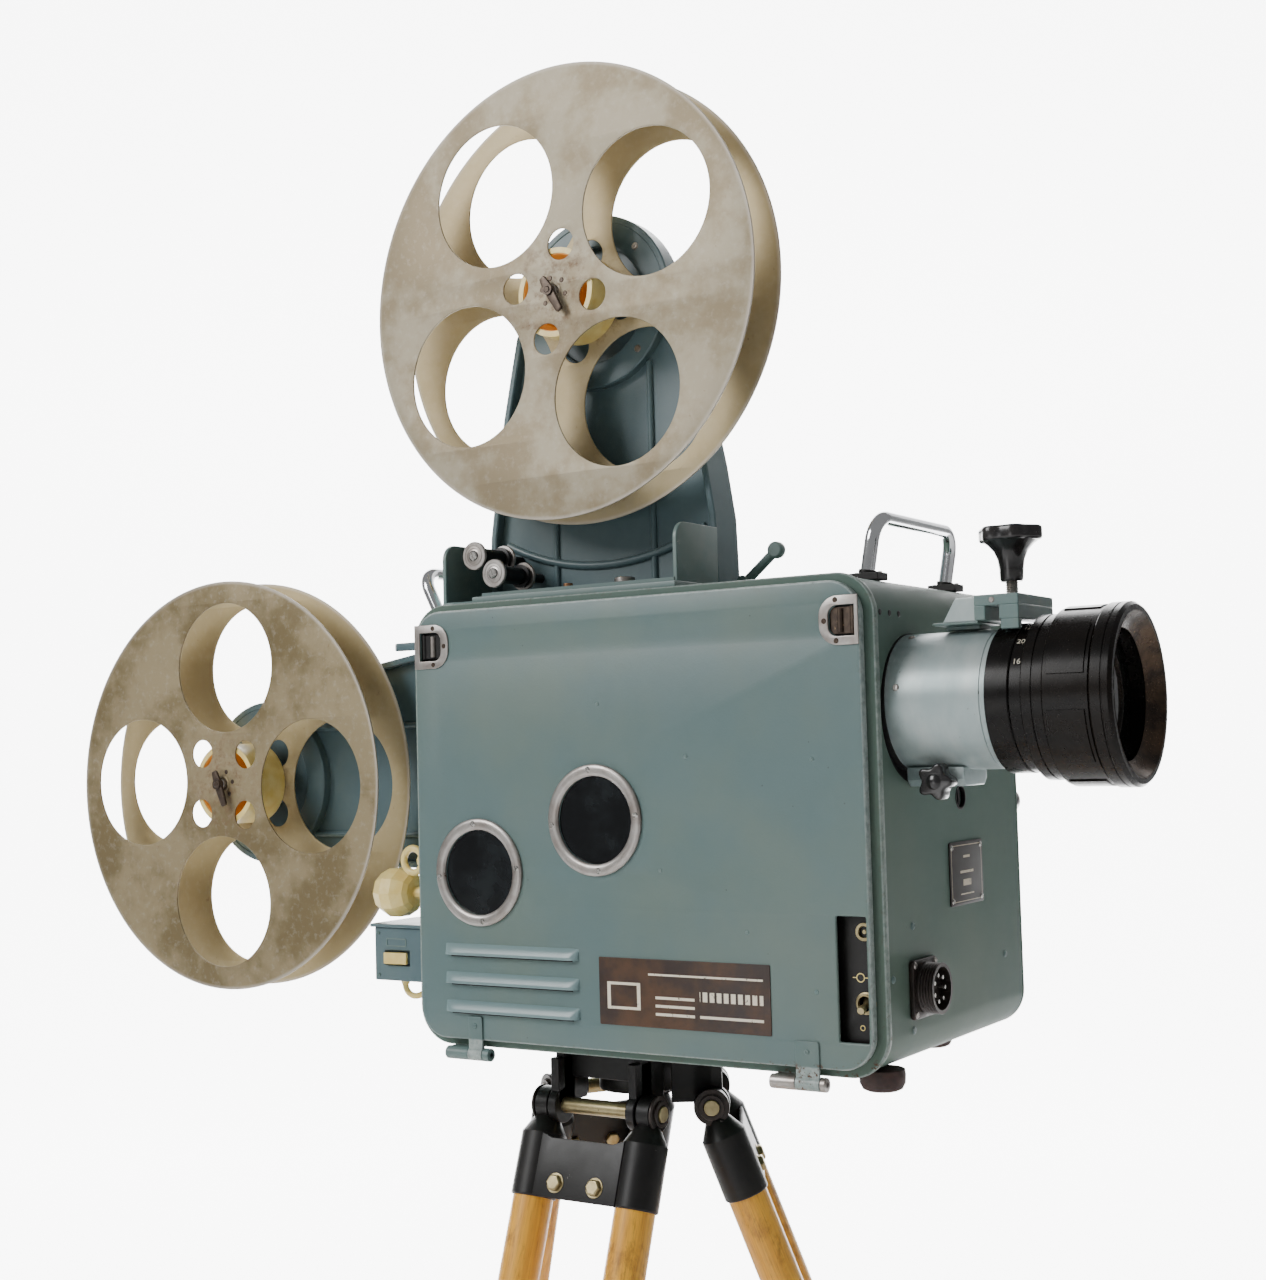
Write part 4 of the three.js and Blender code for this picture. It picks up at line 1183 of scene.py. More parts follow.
# ---------- the door
@dataclass
class Door:
    """The hinged door: panel, portholes, catches, louvres, name plate and hinge leaves."""

    x0: float = -207.0
    x1: float = 199.0
    z0: float = 3.0
    z1: float = 349.5
    corner: float = 25.0
    face: float = -138.5
    back: float = -131.0
    ports: tuple[tuple[str, float, float], ...] = (("rear", -144.3, 136.9), ("front", -30.8, 178.7))
    leaves: tuple[Flat, ...] = ((-157.6, -143.9), (138.0, 157.0))
    body: str = Body.DOOR.value

    def outline(self, grow: float) -> list[Flat]:
        """The door's outline in XZ, grown by a distance."""
        return rounded_box(
            self.x0 - grow, self.x1 + grow, self.z0 - grow, self.z1 + grow, self.corner + grow, 14)

    @staticmethod
    def window(flat: float, bulge: float, z0: float, z1: float, corner: float) -> list[Flat]:
        """A rectangle with one straight side and large corners on the other.

        Args:
            flat: x of the straight side.
            bulge: x of the rounded side.
            z0: its lowest z.
            z1: its highest z.
            corner: radius of the rounded side's corners.

        Returns:
            The outline.
        """
        sign = 1 if bulge > flat else -1
        spots = [(flat, z0)]
        for middle, start in ((z0 + corner, -90), (z1 - corner, 0)):
            spots += [(bulge + sign * u, z) for u, z in arc((-corner, middle), corner, start, start + 90)]
        return [*spots, (flat, z1)]

    def panel(self) -> None:
        """The pressed sheet with its rolled edge and its cut-outs."""
        holes = [circle(34, 72, (x, z)) for _, x, z in self.ports]
        holes.append(self.window(-201, -179, 309, 332.4, 8))
        holes.append(self.window(195.5, 175, 309, 331.2, 8))
        holes.append(rounded_box(173, 196, 23, 111, 1, 3))
        form = Form().plate(self.outline(0), holes, self.face, self.face + 3, Axis.Y, 1.45)
        form.skin(
            self.outline, [(-0.15, -136.4), (-0.15, -131.5), (-0.6, self.back), (-3.5, self.back),
                           (-3.5, -136.4)])
        y, z = HINGE_PIN
        for x0, x1 in self.leaves:
            form.plate(
                rounded_box(x0, x1, -6.5, 22, 1.6, 4), [], self.face - 1.6, self.face + 0.2, Axis.Y, 0.5)
            form.pipe(5.2, 3.0, Axis.X, x0, x1, (0, y, z), 32)
        piece("door_sheet", form, self.body, ENAMEL, ["door_panel"])
        spots = facing_rows([((x0 + x1) / 2, 14.5) for x0, x1 in self.leaves], self.face - 1.6)
        screws("leaf_screws", spots, (0, -1, 0), 2.2, self.body, TRIM_ENAMEL, 0.8)
        dots = [(27.5, 141.0), (52.5, 226.0), (158.0, 222.0), (156.0, 57.0), (-26.0, 268.0), (101.0, 97.0)]
        screws(
            "door_rivets", facing_rows(dots, self.face), (0, -1, 0), 1.7, self.body, TRIM_ENAMEL, 0.5, 0.05)

    def portholes(self) -> None:
        """Round inspection windows: ring, screws and dark glass."""
        for name, x, z in self.ports:
            ring = Form().lathe(
                [(34, -138.5), (43, -138.5), (43, -140.2), (42.2, -141), (40.4, -141.5), (36.8, -141.5),
                 (35, -140.9), (34, -139.8), (34, -138.5)], Axis.Y, (x, 0, z), 96)
            piece(f"window_ring_{name}", ring, self.body, STEEL, [f"porthole_ring_{name}"])
            spots = [
                (x + 39 * math.cos(k * TURN / 4 + 0.1), -141.4, z + 39 * math.sin(k * TURN / 4 + 0.1))
                for k in range(4)]
            screws(f"window_screws_{name}", spots, (0, -1, 0), 2.5, self.body, BRIGHT_STEEL)
            glass = Form().lathe(
                [(0, -135.8), (33.6, -135.8), (33.6, -137.6), (0, -138)], Axis.Y, (x, 0, z), 96)
            piece(f"window_glass_{name}", glass, self.body, PORT_GLASS, [f"porthole_glass_{name}"])

    def catches(self) -> None:
        """Escutcheons, the pockets behind them and the sprung catches."""
        rows = (("rear", 1, -190.0, 320.7, (-206.5, -171.3, 302.6, 339.0), (-201, -179, 309, 332.4)),
                ("front", -1, 185.2, 320.2, (198.6, 167.5, 302.5, 338.2), (195.5, 175, 309, 331.2)))
        for name, sign, x, z, (flat, bulge, z0, z1), (w_flat, w_bulge, w0, w1) in rows:
            outer = self.window(flat, bulge, z0, z1, 15)
            inner = self.window(w_flat, w_bulge, w0, w1, 7)
            plate = Form().plate(outer, [inner], self.face - 1.3, self.face, Axis.Y, 0.5)
            piece(f"catch_plate_{name}", plate, self.body, STEEL)
            side = bulge - sign * 4.2
            middle = (flat + bulge) / 2 + sign * 2
            spots = [(side, z), (middle, z0 + 3.2), (middle, z1 - 3.2)]
            screws(
                f"catch_screws_{name}", facing_rows(spots, self.face - 1.3), (0, -1, 0), 2.0, self.body,
                BRONZE, 0.7)
            pocket = Form().block(x - 12, x + 12, -133.5, -132.3, z - 13, z + 13)
            piece(f"catch_pocket_{name}", pocket, self.body, BLACK_PAINT)
            pin = x - sign * 8
            flap = Form().rod(2, Axis.Z, z - 10, z + 10, (pin, -136.3, 0), 24)
            flap.block(x - 9.4, x + 9.4, -137.0, -135.6, z - 9.6, z + 9.6)
            piece(f"catch_flap_{name}", flap, f"{name}_latch", BRONZE if name == "front" else BLACK_PAINT,
                  [f"{name}_latch"], 0.35)
            bar = Form().rod(2.2, Axis.Z, z - 8.5, z + 8.5, (x + sign * 1.5, -137.2, 0), 24)
            piece(f"catch_bar_{name}", bar, f"{name}_latch", BRONZE if name == "front" else STEEL)

    def louvres(self) -> None:
        """Three long pressed louvres and black strips below them: painted shade in the louvres' openings."""
        step = {"Count": 3, "Offset": Vector((0, 0, 22.75))}
        repeated(
            "door_louvres", louvre_hood(-180, -49, 25.5, self.face, 5.2), in_line(), step, self.body,
            HIGHLIT_LOUVRE_ENAMEL, crease=50)
        # Black strips under the hoods: painted shade in the louvre openings.
        slot = Form().block(-174, -55, self.face - 0.9, self.face + 0.3, 23.6, 25.6)
        repeated("louvre_slot_shade", slot, in_line(), step, self.body, BLACK_PAINT)

    def name_plate(self) -> None:
        """A brown plate with plain printed shapes."""
        form = Form().plate(
            rounded_box(-30, 119, 23.5, 74.5, 1, 3), [], self.face - 0.8, self.face, Axis.Y, 0.25)
        piece("name_plate", form, self.body, NAME_PRINT)

    def build(self) -> None:
        """Builds the whole door."""
        self.panel()
        self.portholes()
        self.catches()
        self.louvres()
        self.name_plate()


RATING_PRINT = PrintedPlate(
    "rating_print", "black_enamel", tone(34, 30, 28), tone(52, 44, 40), 20, 0.6, (0.35, 0.5), depth=0.03,
    axes=(1, 2), low=(-9.5, 106.5), high=(55.0, 155.0), ink=tone(196, 184, 160), border=2.6,
    bars=((0.4, 0.6, 0.74, 0.78), (0.3, 0.7, 0.5, 0.54), (0.38, 0.62, 0.3, 0.4), (0.3, 0.7, 0.16, 0.18)),
)
NAME_PRINT = PrintedPlate(
    "name_print", "black_enamel", tone(46, 32, 26), tone(84, 56, 32), 40, 0.8, (0.3, 0.45), depth=0.02,
    axes=(0, 2), low=(-30.0, 23.5), high=(119.0, 74.5), ink=tone(232, 222, 200), border=-1.0,
    bars=((0.3, 0.96, 0.76, 0.79), (0.34, 0.57, 0.3, 0.34), (0.34, 0.57, 0.42, 0.46),
          (0.34, 0.57, 0.18, 0.22), (0.6, 0.96, 0.18, 0.22), (0.06, 0.24, 0.24, 0.28),
          (0.06, 0.24, 0.6, 0.64), (0.05, 0.07, 0.24, 0.64), (0.23, 0.25, 0.24, 0.64)),
    windows=(0.6, 0.96, 0.42, 0.56, 6.0))
# Lighter than the door's enamel: painted highlight on the louvre hoods.
HIGHLIT_LOUVRE_ENAMEL = Finish(
    "louvre_enamel_highlit", "enamel", tone(116, 140, 142), tone(126, 148, 148), 60, 0.5, (0.2, 0.3), depth=0.02,
    chip=(tone(190, 196, 190), 10, 0.74),
)


# ---------- inside and switches
@dataclass
class Mechanism:
    """What is behind the door: plate, lamp house, gate and toothed rollers."""

    wheels: tuple[tuple[str, float, float, float, int], ...] = (
        ("feed", 18, 312, 17, 22), ("intermittent", 34, 196, 13, 16), ("holdback", -34, 172, 17, 22))

    def build(self) -> None:
        """Dresses the plain castings and builds the toothed rollers."""
        dress("mechanism_plate", ARM_ENAMEL)
        dress("lamp_house", BLACK_PAINT)
        dress("film_gate", STEEL)
        for name, x, z, r, teeth in self.wheels:
            profile = [
                (0, -84), (r + 2, -84), (r + 2.5, -83.4), (r + 2.5, -80.4), (r, -80), (r, -49),
                (r + 2.5, -48.6), (r + 2.5, -45.4), (r + 2, -45), (6, -45), (6, -36.4), (0, -36.4)]
            node = f"{name}_sprocket"
            piece(f"{name}_roller", Form().lathe(profile, Axis.Y, (x, 0, z), 64), node, BRIGHT_STEEL, [node])
            for side, y in (("front", -77.5), ("rear", -51.5)):
                tooth = Form().block(-0.9, 0.9, y - 1, y + 1, r - 0.5, r + 1.6)
                sizes = {"Count": teeth, "Centre": Vector((x, 0, z)), "Axis": Vector((0, 1, 0)), "Start": 0.0}
                repeated(f"{name}_teeth_{side}", tooth, in_circle(), sizes, node, STEEL)


@dataclass
class Switches:
    """The recessed switch panel of the front and the switch box at the rear."""

    toggle: Flat = (190.4, 49.7)
    body: str = Body.CASE.value

    def panel(self) -> None:
        """The black panel with its toggle switch, small socket and plain marks."""
        x, z = self.toggle
        form = Form().plate(
            rounded_box(169, 199.5, 20, 114, 3, 5), [circle(5.2, 32, self.toggle)], -129.4, -127.2, Axis.Y,
            0.3)
        piece("black_panel", form, self.body, BLACK_PAINT, ["switch_panel"])
        nut = Form().lathe(
            [(5.3, -129.4), (8, -129.4), (8, -130.2), (6.6, -130.6), (6.6, -132.4), (5.3, -132.6),
             (5.3, -129.4)], Axis.Y, (x, 0, z), 48)
        nut.pipe(6.4, 4.2, Axis.Y, -132.6, -129.3, (191.4, 0, 99.9), 48)
        nut.rod(1.6, Axis.Y, -131.5, -129.3, (191.4, 0, 99.9), 16)
        piece("panel_nuts", nut, self.body, BRASS, soften=0.25)
        lever = Form().lathe(
            [(0, -4.4), (3.2, -3.2), (4.4, 0), (2.4, 4), (2.4, 9), (3.2, 12.5), (2.6, 14.4), (0, 15)], Axis.Z,
            (0, 0, 0), 40)
        piece(
            "toggle_stick", Form().add(lever, posed((x, -125.6, z), 106, "X")), "toggle_lever", BRASS,
            ["toggle_lever"])
        marks = Form().plate(
            circle(3.3, 40, (186.5, 67.5)), [circle(2.6, 40, (186.5, 67.5))], -129.7, -129.3, Axis.Y, 0.05)
        marks.plate(
            circle(2.0, 32, (187, 32.3)), [circle(1.4, 32, (187, 32.3))], -129.7, -129.3, Axis.Y, 0.05)
        for a, b in ((180.5, 183.0), (190.0, 192.5)):
            marks.block(a, b, -129.7, -129.3, 67.2, 67.8)
        piece("panel_marks", marks, self.body, IVORY)

    def rear_box(self) -> None:
        """The switch box behind the case, its rocker and its short lead."""
        form = Form().block(-283, -213.2, -108, -50, 41, 86)
        cutter = Form().block(-272, -245, -109, -101, 54, 66.5)
        mesh = carved(form, cutter, "rear_box")
        finish_piece("rear_box", mesh, self.body, ARM_ENAMEL, ["rear_switch_box"], 1.0)
        lid = Form().block(-286, -213.2, -111, -47, 86.1, 89)
        piece("rear_box_lid", lid, self.body, ARM_ENAMEL, soften=0.9)
        label = Form().plate(
            rounded_box(-270, -248, 70, 77, 1, 3), [rounded_box(-269, -249, 71, 76, 0.8, 3)], -108.5, -107.9,
            Axis.Y, 0.15)
        piece("rear_box_label", label, self.body, TRIM_ENAMEL)
        spots = facing_rows([(-278.5, 45.5), (-278.5, 81), (-218, 45.5), (-218, 81)], -108.0)
        screws("rear_box_screws", spots, (0, -1, 0), 1.8, self.body, TRIM_ENAMEL)
        rocker = Form().prism(
            [(-11.9, -107.6), (11.9, -107.6), (11.9, -110.4), (0, -111.4), (-11.9, -112)], 55.4, 65.1, Axis.Z)
        rocker.block(-3, 3, -107.7, -101.6, 56, 64.5)
        rocker.bend(lambda p: p + Vector((-258.5, 0, 0)))
        piece("rocker_key", rocker, "rocker_switch", IVORY, ["rocker_switch"], 0.7)
        route = [
            (-263, -92, 40.9), (-263, -92, 35), (-260.5, -92, 30), (-255, -92, 27), (-248, -92, 27.5),
            (-241, -92, 31), (-233, -92, 34), (-224, -92, 35), (-213.2, -92, 35)]
        lead = Form().tube(smooth_path(route, 6), 2.6, 20)
        lead.lathe([(0, 41), (4.4, 41), (3.2, 36.5), (0, 36.5)], Axis.Z, (-263, -92, 0), 24)
        piece("short_lead", lead, self.body, IVORY, ["box_lead"])

    def build(self) -> None:
        """Builds both switch groups."""
        self.panel()
        self.rear_box()


def smooth_path(points: Sequence[Point], steps: int) -> list[Point]:
    """A smooth line through points.

    Args:
        points: the points that it passes.
        steps: how many pieces each gap is cut into.

    Returns:
        The finer line.
    """
    path = [Vector(p) for p in points]
    out = []
    for i in range(len(path) - 1):
        a, b = path[max(i - 1, 0)], path[i]
        c, d = path[i + 1], path[min(i + 2, len(path) - 1)]
        for k in range(steps):
            t = k / steps
            spot = 0.5 * (
                2 * b + (c - a) * t + (2 * a - 5 * b + 4 * c - d) * t * t + (3 * b - a - 3 * c + d) * t ** 3)
            out.append(tuple(spot))
    out.append(tuple(path[-1]))
    return out


# ---------- rear controls
@dataclass
class RearControls:
    """The hand knob, the framing ring and the arm release tongue."""

    knob: Flat = (-95.0, 115.0)
    ring: Point = (-241.0, -105.0, 143.0)

    def build(self) -> None:
        """Builds the three controls."""
        y, z = self.knob
        profile = [
            (0, -288), (9, -287), (17, -281), (21.5, -271), (21.5, -260), (16.5, -250), (12.5, -247),
            (5, -246.9), (5, -213.2), (0, -213.2)]
        knob = Form().lathe(profile, Axis.X, (0, y, z), 10)
        piece("faceted_knob", knob, "inching_knob", IVORY, ["inching_knob"], 0.8, 12)
        collar = Form().pipe(9, 5.3, Axis.X, -222, -213.1, (0, y, z), 48)
        piece("knob_collar", collar, Body.CASE.value, STEEL, soften=0.6)
        x, ry, rz = self.ring
        form = Form().tube([(u, ry, v) for u, v in circle(10.2, 48, (x, rz))], 3.0, 20, True)
        form.rod(3, Axis.X, -232, -213.2, (0, ry, rz), 24)
        form.rod(5.5, Axis.X, -233, -228, (0, ry, rz), 32)
        piece("framing_ring", form, "framing_lever", IVORY, ["framing_lever"], 0.5)
        tip = [(-304, -40), (-309, -44), (-304, -48), *arc((-220, -44), 6, -90, 90)]
        tongue = Form().plate(tip, [], 326, 333, Axis.Z, 1.2)
        tongue.lathe(
            [(0, 325), (3.2, 325), (3.2, 334.6), (2.6, 335.2), (0, 335.2)], Axis.Z, (-220, -44, 0), 32)
        piece("release_tongue", tongue, "arm_release_lever", ARM_ENAMEL, ["arm_release_lever"])
        bracket = Form().block(-226, -213.1, -50, -38, 320, 324.6)
        piece("tongue_bracket", bracket, Body.CASE.value, ARM_ENAMEL, soften=0.8)


# ---------- lens and attachment
@dataclass
class Lens:
    """The silver lens tube, the clamp bracket and the black wide-screen attachment."""

    y: float = LENS_AXIS[0]
    z: float = LENS_AXIS[1]
    end: float = 281.0
    body: str = Body.CASE.value

    def tube(self) -> None:
        """The tube with its rim, its lug and its saddle."""
        at = (0, self.y, self.z)
        profile = [
            (22, 76), (26, 76), (26, 188), (50, 188), (50, 276.2), (49.4, 276.6), (49.4, 278), (50, 278.4),
            (50, 280.2), (49.4, self.end), (46, self.end), (46, 193), (22, 193), (22, 76)]
        form = Form().lathe(profile, Axis.X, at, 128)
        form.plate(
            [(-86.6, 214), (-86.6, 205), (-82, 200.2), (-48, 200.2), (-43.4, 205), (-43.4, 214)], [], 208,
            252, Axis.X, 1.2)
        form.block(104, 150, -62, -36.4, 247, 276)
        piece("lens_tube", form, self.body, SILVER_PAINT, ["lens_holder"])
        for number, angle in enumerate((0.2, 1.2), 1):
            facing = Vector((0, -math.cos(angle), math.sin(angle)))
            screws(
                f"tube_screw_{number}", [Vector((214, self.y, self.z)) + 50 * facing], facing, 2.6, self.body)
        star = Form().plate(lobed(13.6, 9.6, 5), [], -104, -91, Axis.Y, 1.6)
        star.bend(lambda p: p + Vector((236, 0, 204)))
        star.rod(3.5, Axis.Y, -92, -87, (236, 0, 204), 24)
        star.lathe(
            [(0, -105.6), (4.4, -105.2), (5.6, -104), (5.6, -103), (0, -103)], Axis.Y, (236, 0, 204), 32)
        piece("star_knob", star, "focus_knob", BAKELITE, ["focus_knob"], 0.0, 40)

    def bracket(self) -> None:
        """The yoke that holds the attachment, with its wedge block and hand knob."""
        form = Form().block(268.5, 301.5, -98, -28, 326.6, 334.5)
        form.block(268.5, 277, -98, -28, 316.6, 327)
        form.block(287, 301.5, -98, -28, 316.6, 327)
        form.block(234, 269, -92, -50, 314.9, 316.9)
        form.block(238, 264, -76, -54, 311.9, 315.2)
        form.block(288, 301.5, -98, -91.4, 309.6, 317)
        piece("clamp_yoke", form, self.body, TRIM_ENAMEL, ["attachment_bracket"], 1.1)
        side = [(242, 316.6), (269, 316.6), (269, 333.8), (252, 333.8)]
        wedge = Form().prism(side, -92, -50, Axis.Y)
        piece("wedge_block", wedge, self.body, SILVER_PAINT, soften=1.2)
        screws("yoke_screw", [(282, -98.0, 330.6)], (0, -1, 0), 2.2, self.body, STEEL, 0.7, 0.6)
        screws("yoke_cap_screws", [(294, -90, 334.5), (294, -36, 334.5)], (0, 0, 1), 3.0, self.body)
        at = (285, self.y, 0)
        stud = Form()
        profile = [(0, 334.9)]
        for k in range(7):
            profile += [(4.6, 335.1 + 1.5 * k), (3.9, 335.8 + 1.5 * k)]
        profile += [(4.6, 345.6), (0, 345.6)]
        stud.lathe(profile, Axis.Z, at, 32)
        piece("clamp_stud", stud, "clamp_knob", STEEL, ["clamp_knob"])
        hand = Form().lathe(
            [(0, 345.2), (7.4, 345.2), (8.2, 347), (8.6, 354), (9.6, 361), (12, 367), (16, 371.5),
             (20, 374.6), (0, 374.6)], Axis.Z, at, 64)
        top = Form().plate(lobed(23.5, 20.2, 6), [], 374, 384.4, Axis.Z, 2.2)
        top.bend(lambda p: p + Vector(at))
        hand.add(top)
        hand.lathe([(0, 384), (9, 384), (8.4, 385.2), (0, 385.4)], Axis.Z, at, 48)
        piece("clamp_hand_knob", hand, "clamp_knob", BAKELITE, (), 0.0, 40)

    def attachment(self) -> None:
        """The barrel, scale ring, grip ring, front bezel and front glass."""
        at = (0, self.y, self.z)
        profile = [
            (41, 262), (45.6, 262), (45.6, 281.3), (52.4, 281.3), (53.2, 282), (53.2, 297.8), (52.6, 298.6),
            (51.6, 298.8), (51.6, 299.4), (52.6, 299.6), (52.6, 308.4), (53, 308.8), (57.6, 309.2),
            (58.4, 310), (58.4, 316.6), (57.6, 317), (57.6, 317.8), (58.4, 318.2), (58.4, 324.4),
            (57.8, 325.1), (55.8, 325.2), (55.8, 358.6), (63.2, 358.7), (64, 359.6), (64, 366.4),
            (63.4, 366.8), (63.4, 367.4), (64, 367.8), (64, 371.6), (61.8, 374.2), (58.2, 374.3),
            (57.4, 373.6), (53.4, 366.8), (46.6, 363), (46.4, 349), (41, 348.9), (41, 262)]
        piece("attachment_body", Form().lathe(profile, Axis.X, at, 128), self.body, ANODISED,
              ["attachment_barrel"], 0.0, 24)
        inner = Form().lathe(
            [(46.7, 362.9), (46.3, 363.4), (52.9, 367.2), (57.2, 374.2), (58, 374.5), (57.7, 373.6),
             (53.6, 366.8), (46.7, 362.9)], Axis.X, at, 128)
        piece("bezel_ring", inner, self.body, BEZEL_BRASS)
        glass = Form().lathe(
            [(0, 350), (46.2, 350), (46.2, 353), (38, 355), (24, 356.8), (12, 357.5), (0, 357.7)], Axis.X, at,
            96)
        piece("front_glass", glass, self.body, LENS_GLASS, ["attachment_glass"], 0.0, 50)
        ring = Form().lathe(
            [(56.4, 325.6), (61, 325.6), (62, 326.4), (62, 357.4), (61, 358.2), (56.4, 358.2), (56.4, 325.6)],
            Axis.X, at, 128)
        piece("grip_ring_core", ring, "focus_ring", ANODISED, ["focus_ring"])
        pad = Form()
        rings = []
        half = 18.6
        for x, r in ((328.2, 61.4), (329, 63), (354.8, 63), (355.6, 61.4)):
            section = arc((0, 0), r, -half, half) + arc((0, 0), 60.5, half, -half)
            rings.append([Vector((x, v, u)) for u, v in section])
        pad._grid(rings, False)
        sizes = {"Count": 6, "Centre": Vector(at), "Axis": Vector((1, 0, 0)), "Start": math.radians(-2)}
        repeated("grip_ring_pads", pad, in_circle(), sizes, "focus_ring", ANODISED)
        self.scale(at)

    def scale(self, at: Point) -> None:
        """Numbers and the index line engraved round the barrel."""
        form = Form()
        for word, degrees in (("20", 134), ("16", 153), ("12", 115)):
            form.add(wrapped_text(word, 6.0, 304, math.radians(degrees), 53.3, at))
        index = math.radians(94)
        spot = (291, at[1] - 53.3 * math.cos(index), at[2] + 53.3 * math.sin(index))
        turn = Matrix.Translation(spot) @ Matrix.Rotation(math.pi / 2 - index, 4, "X")
        form.add(Form().block(-3.4, 3.4, -0.3, 0.3, -0.1, 0.12), turn)
        piece("scale_marks", form, self.body, SCALE_INK)

    def build(self) -> None:
        """Builds lens, bracket and attachment."""
        self.tube()
        self.bracket()
        self.attachment()


SCALE_INK = Finish(
    "scale_ink", "silver_enamel", tone(206, 200, 184), tone(170, 160, 140), 6, 0.6, (0.4, 0.5), depth=0.01,
    chip=(tone(60, 54, 48), 3, 0.66),
)


def wrapped_text(word: str, size: float, x: float, angle: float, radius: float, centre: Point) -> Form:
    """A number laid round a cylinder that runs along X.

    Args:
        word: the number.
        size: its height in millimetres.
        x: where its middle lies along the cylinder.
        angle: where its middle lies round the cylinder, from the far side over the top.
        radius: the cylinder's radius.
        centre: a point on the cylinder's axis.

    Returns:
        The raised number.
    """
    curve = bpy.data.curves.new("number", "FONT")
    curve.body = word
    curve.size = size
    curve.extrude = 0.12
    curve.align_x = "CENTER"
    curve.align_y = "CENTER"
    holder = linked("number", curve)
    mesh = evaluated(holder)
    bpy.data.objects.remove(holder)
    form = Form()
    form.bm.from_mesh(mesh)
    bpy.data.meshes.remove(mesh)
    bmesh.ops.remove_doubles(form.bm, verts=form.bm.verts, dist=1e-4)

    def wrap(p: Vector) -> Vector:
        """Rolls the flat number round the cylinder, its reading direction along X."""
        turned = angle - p.y / radius
        r = radius + p.z
        return Vector((x + p.x, centre[1] + r * math.cos(turned), centre[2] + r * math.sin(turned)))

    return form.bend(wrap)


# ---------- handles, tray and clamp lever
@dataclass
class Handles:
    """The two bent-rod carrying handles."""

    rod: float = 5.5
    y0: float = -64.0
    y1: float = 82.0
    bend: float = 19.0
    body: str = Body.CASE.value

    def handle(self, foot: Flat, away: Flat, height: float) -> Form:
        """A rod that rises from one foot, crosses over and comes down to the other.

        Args:
            foot: x and z of both feet.
            away: direction of its rise in XZ.
            height: how far it rises.

        Returns:
            The handle.
        """
        size = math.hypot(*away)
        rise = Vector((away[0] / size, 0, away[1] / size))
        ends = [Vector((foot[0], y, foot[1])) for y in (self.y0, self.y1)]
        path = [ends[0]]
        for end, side in ((ends[0], 1), (ends[1], -1)):
            centre = end + rise * (height - self.bend) + Vector((0, side * self.bend, 0))
            bow = [centre - Vector((0, side * u, 0)) + rise * v for u, v in arc((0, 0), self.bend, 0, 90)]
            path += bow[::side]
        path.append(ends[1])
        return Form().tube([tuple(p) for p in path], self.rod, 28)

    def build(self) -> None:
        """Builds both handles with their pads and screws."""
        piece("handle_front", self.handle((171, 357), (8, 44), 46), self.body, CHROME, ["front_handle"])
        cuffs = Form()
        for y in (self.y0, self.y1):
            cuffs.block(160, 184, y - 9, y + 9, 353.9, 359.6)
            turn = Matrix.Translation((171, y, 357)) @ Matrix.Rotation(math.atan2(8, 44), 4, "Y")
            cuffs.add(Form().pipe(6.8, 5.6, Axis.Z, 2.2, 5.4, (0, 0, 0), 40), turn)
        piece("handle_cuffs", cuffs, self.body, BLACK_PAINT, soften=0.8)
        spots = [(x, y + s, 359.6) for y in (self.y0, self.y1) for x, s in ((162.5, 0), (181.5, 0))]
        screws("handle_screws_front", spots, (0, 0, 1), 2.2, self.body)
        piece("handle_rear", self.handle((-219.6, 314), (-40, 79), 88), self.body, CHROME, ["rear_handle"])
        pads = Form()
        for y in (self.y0, self.y1):
            pads.block(-218.8, -213.1, y - 9, y + 9, 300, 324)
        piece("handle_pads_rear", pads, self.body, BLACK_PAINT, soften=0.8)
        spots = [(-218.8, y, z) for y in (self.y0, self.y1) for z in (302.6, 321.4)]
        screws("handle_screws_rear", spots, (-1, 0, 0), 2.2, self.body)


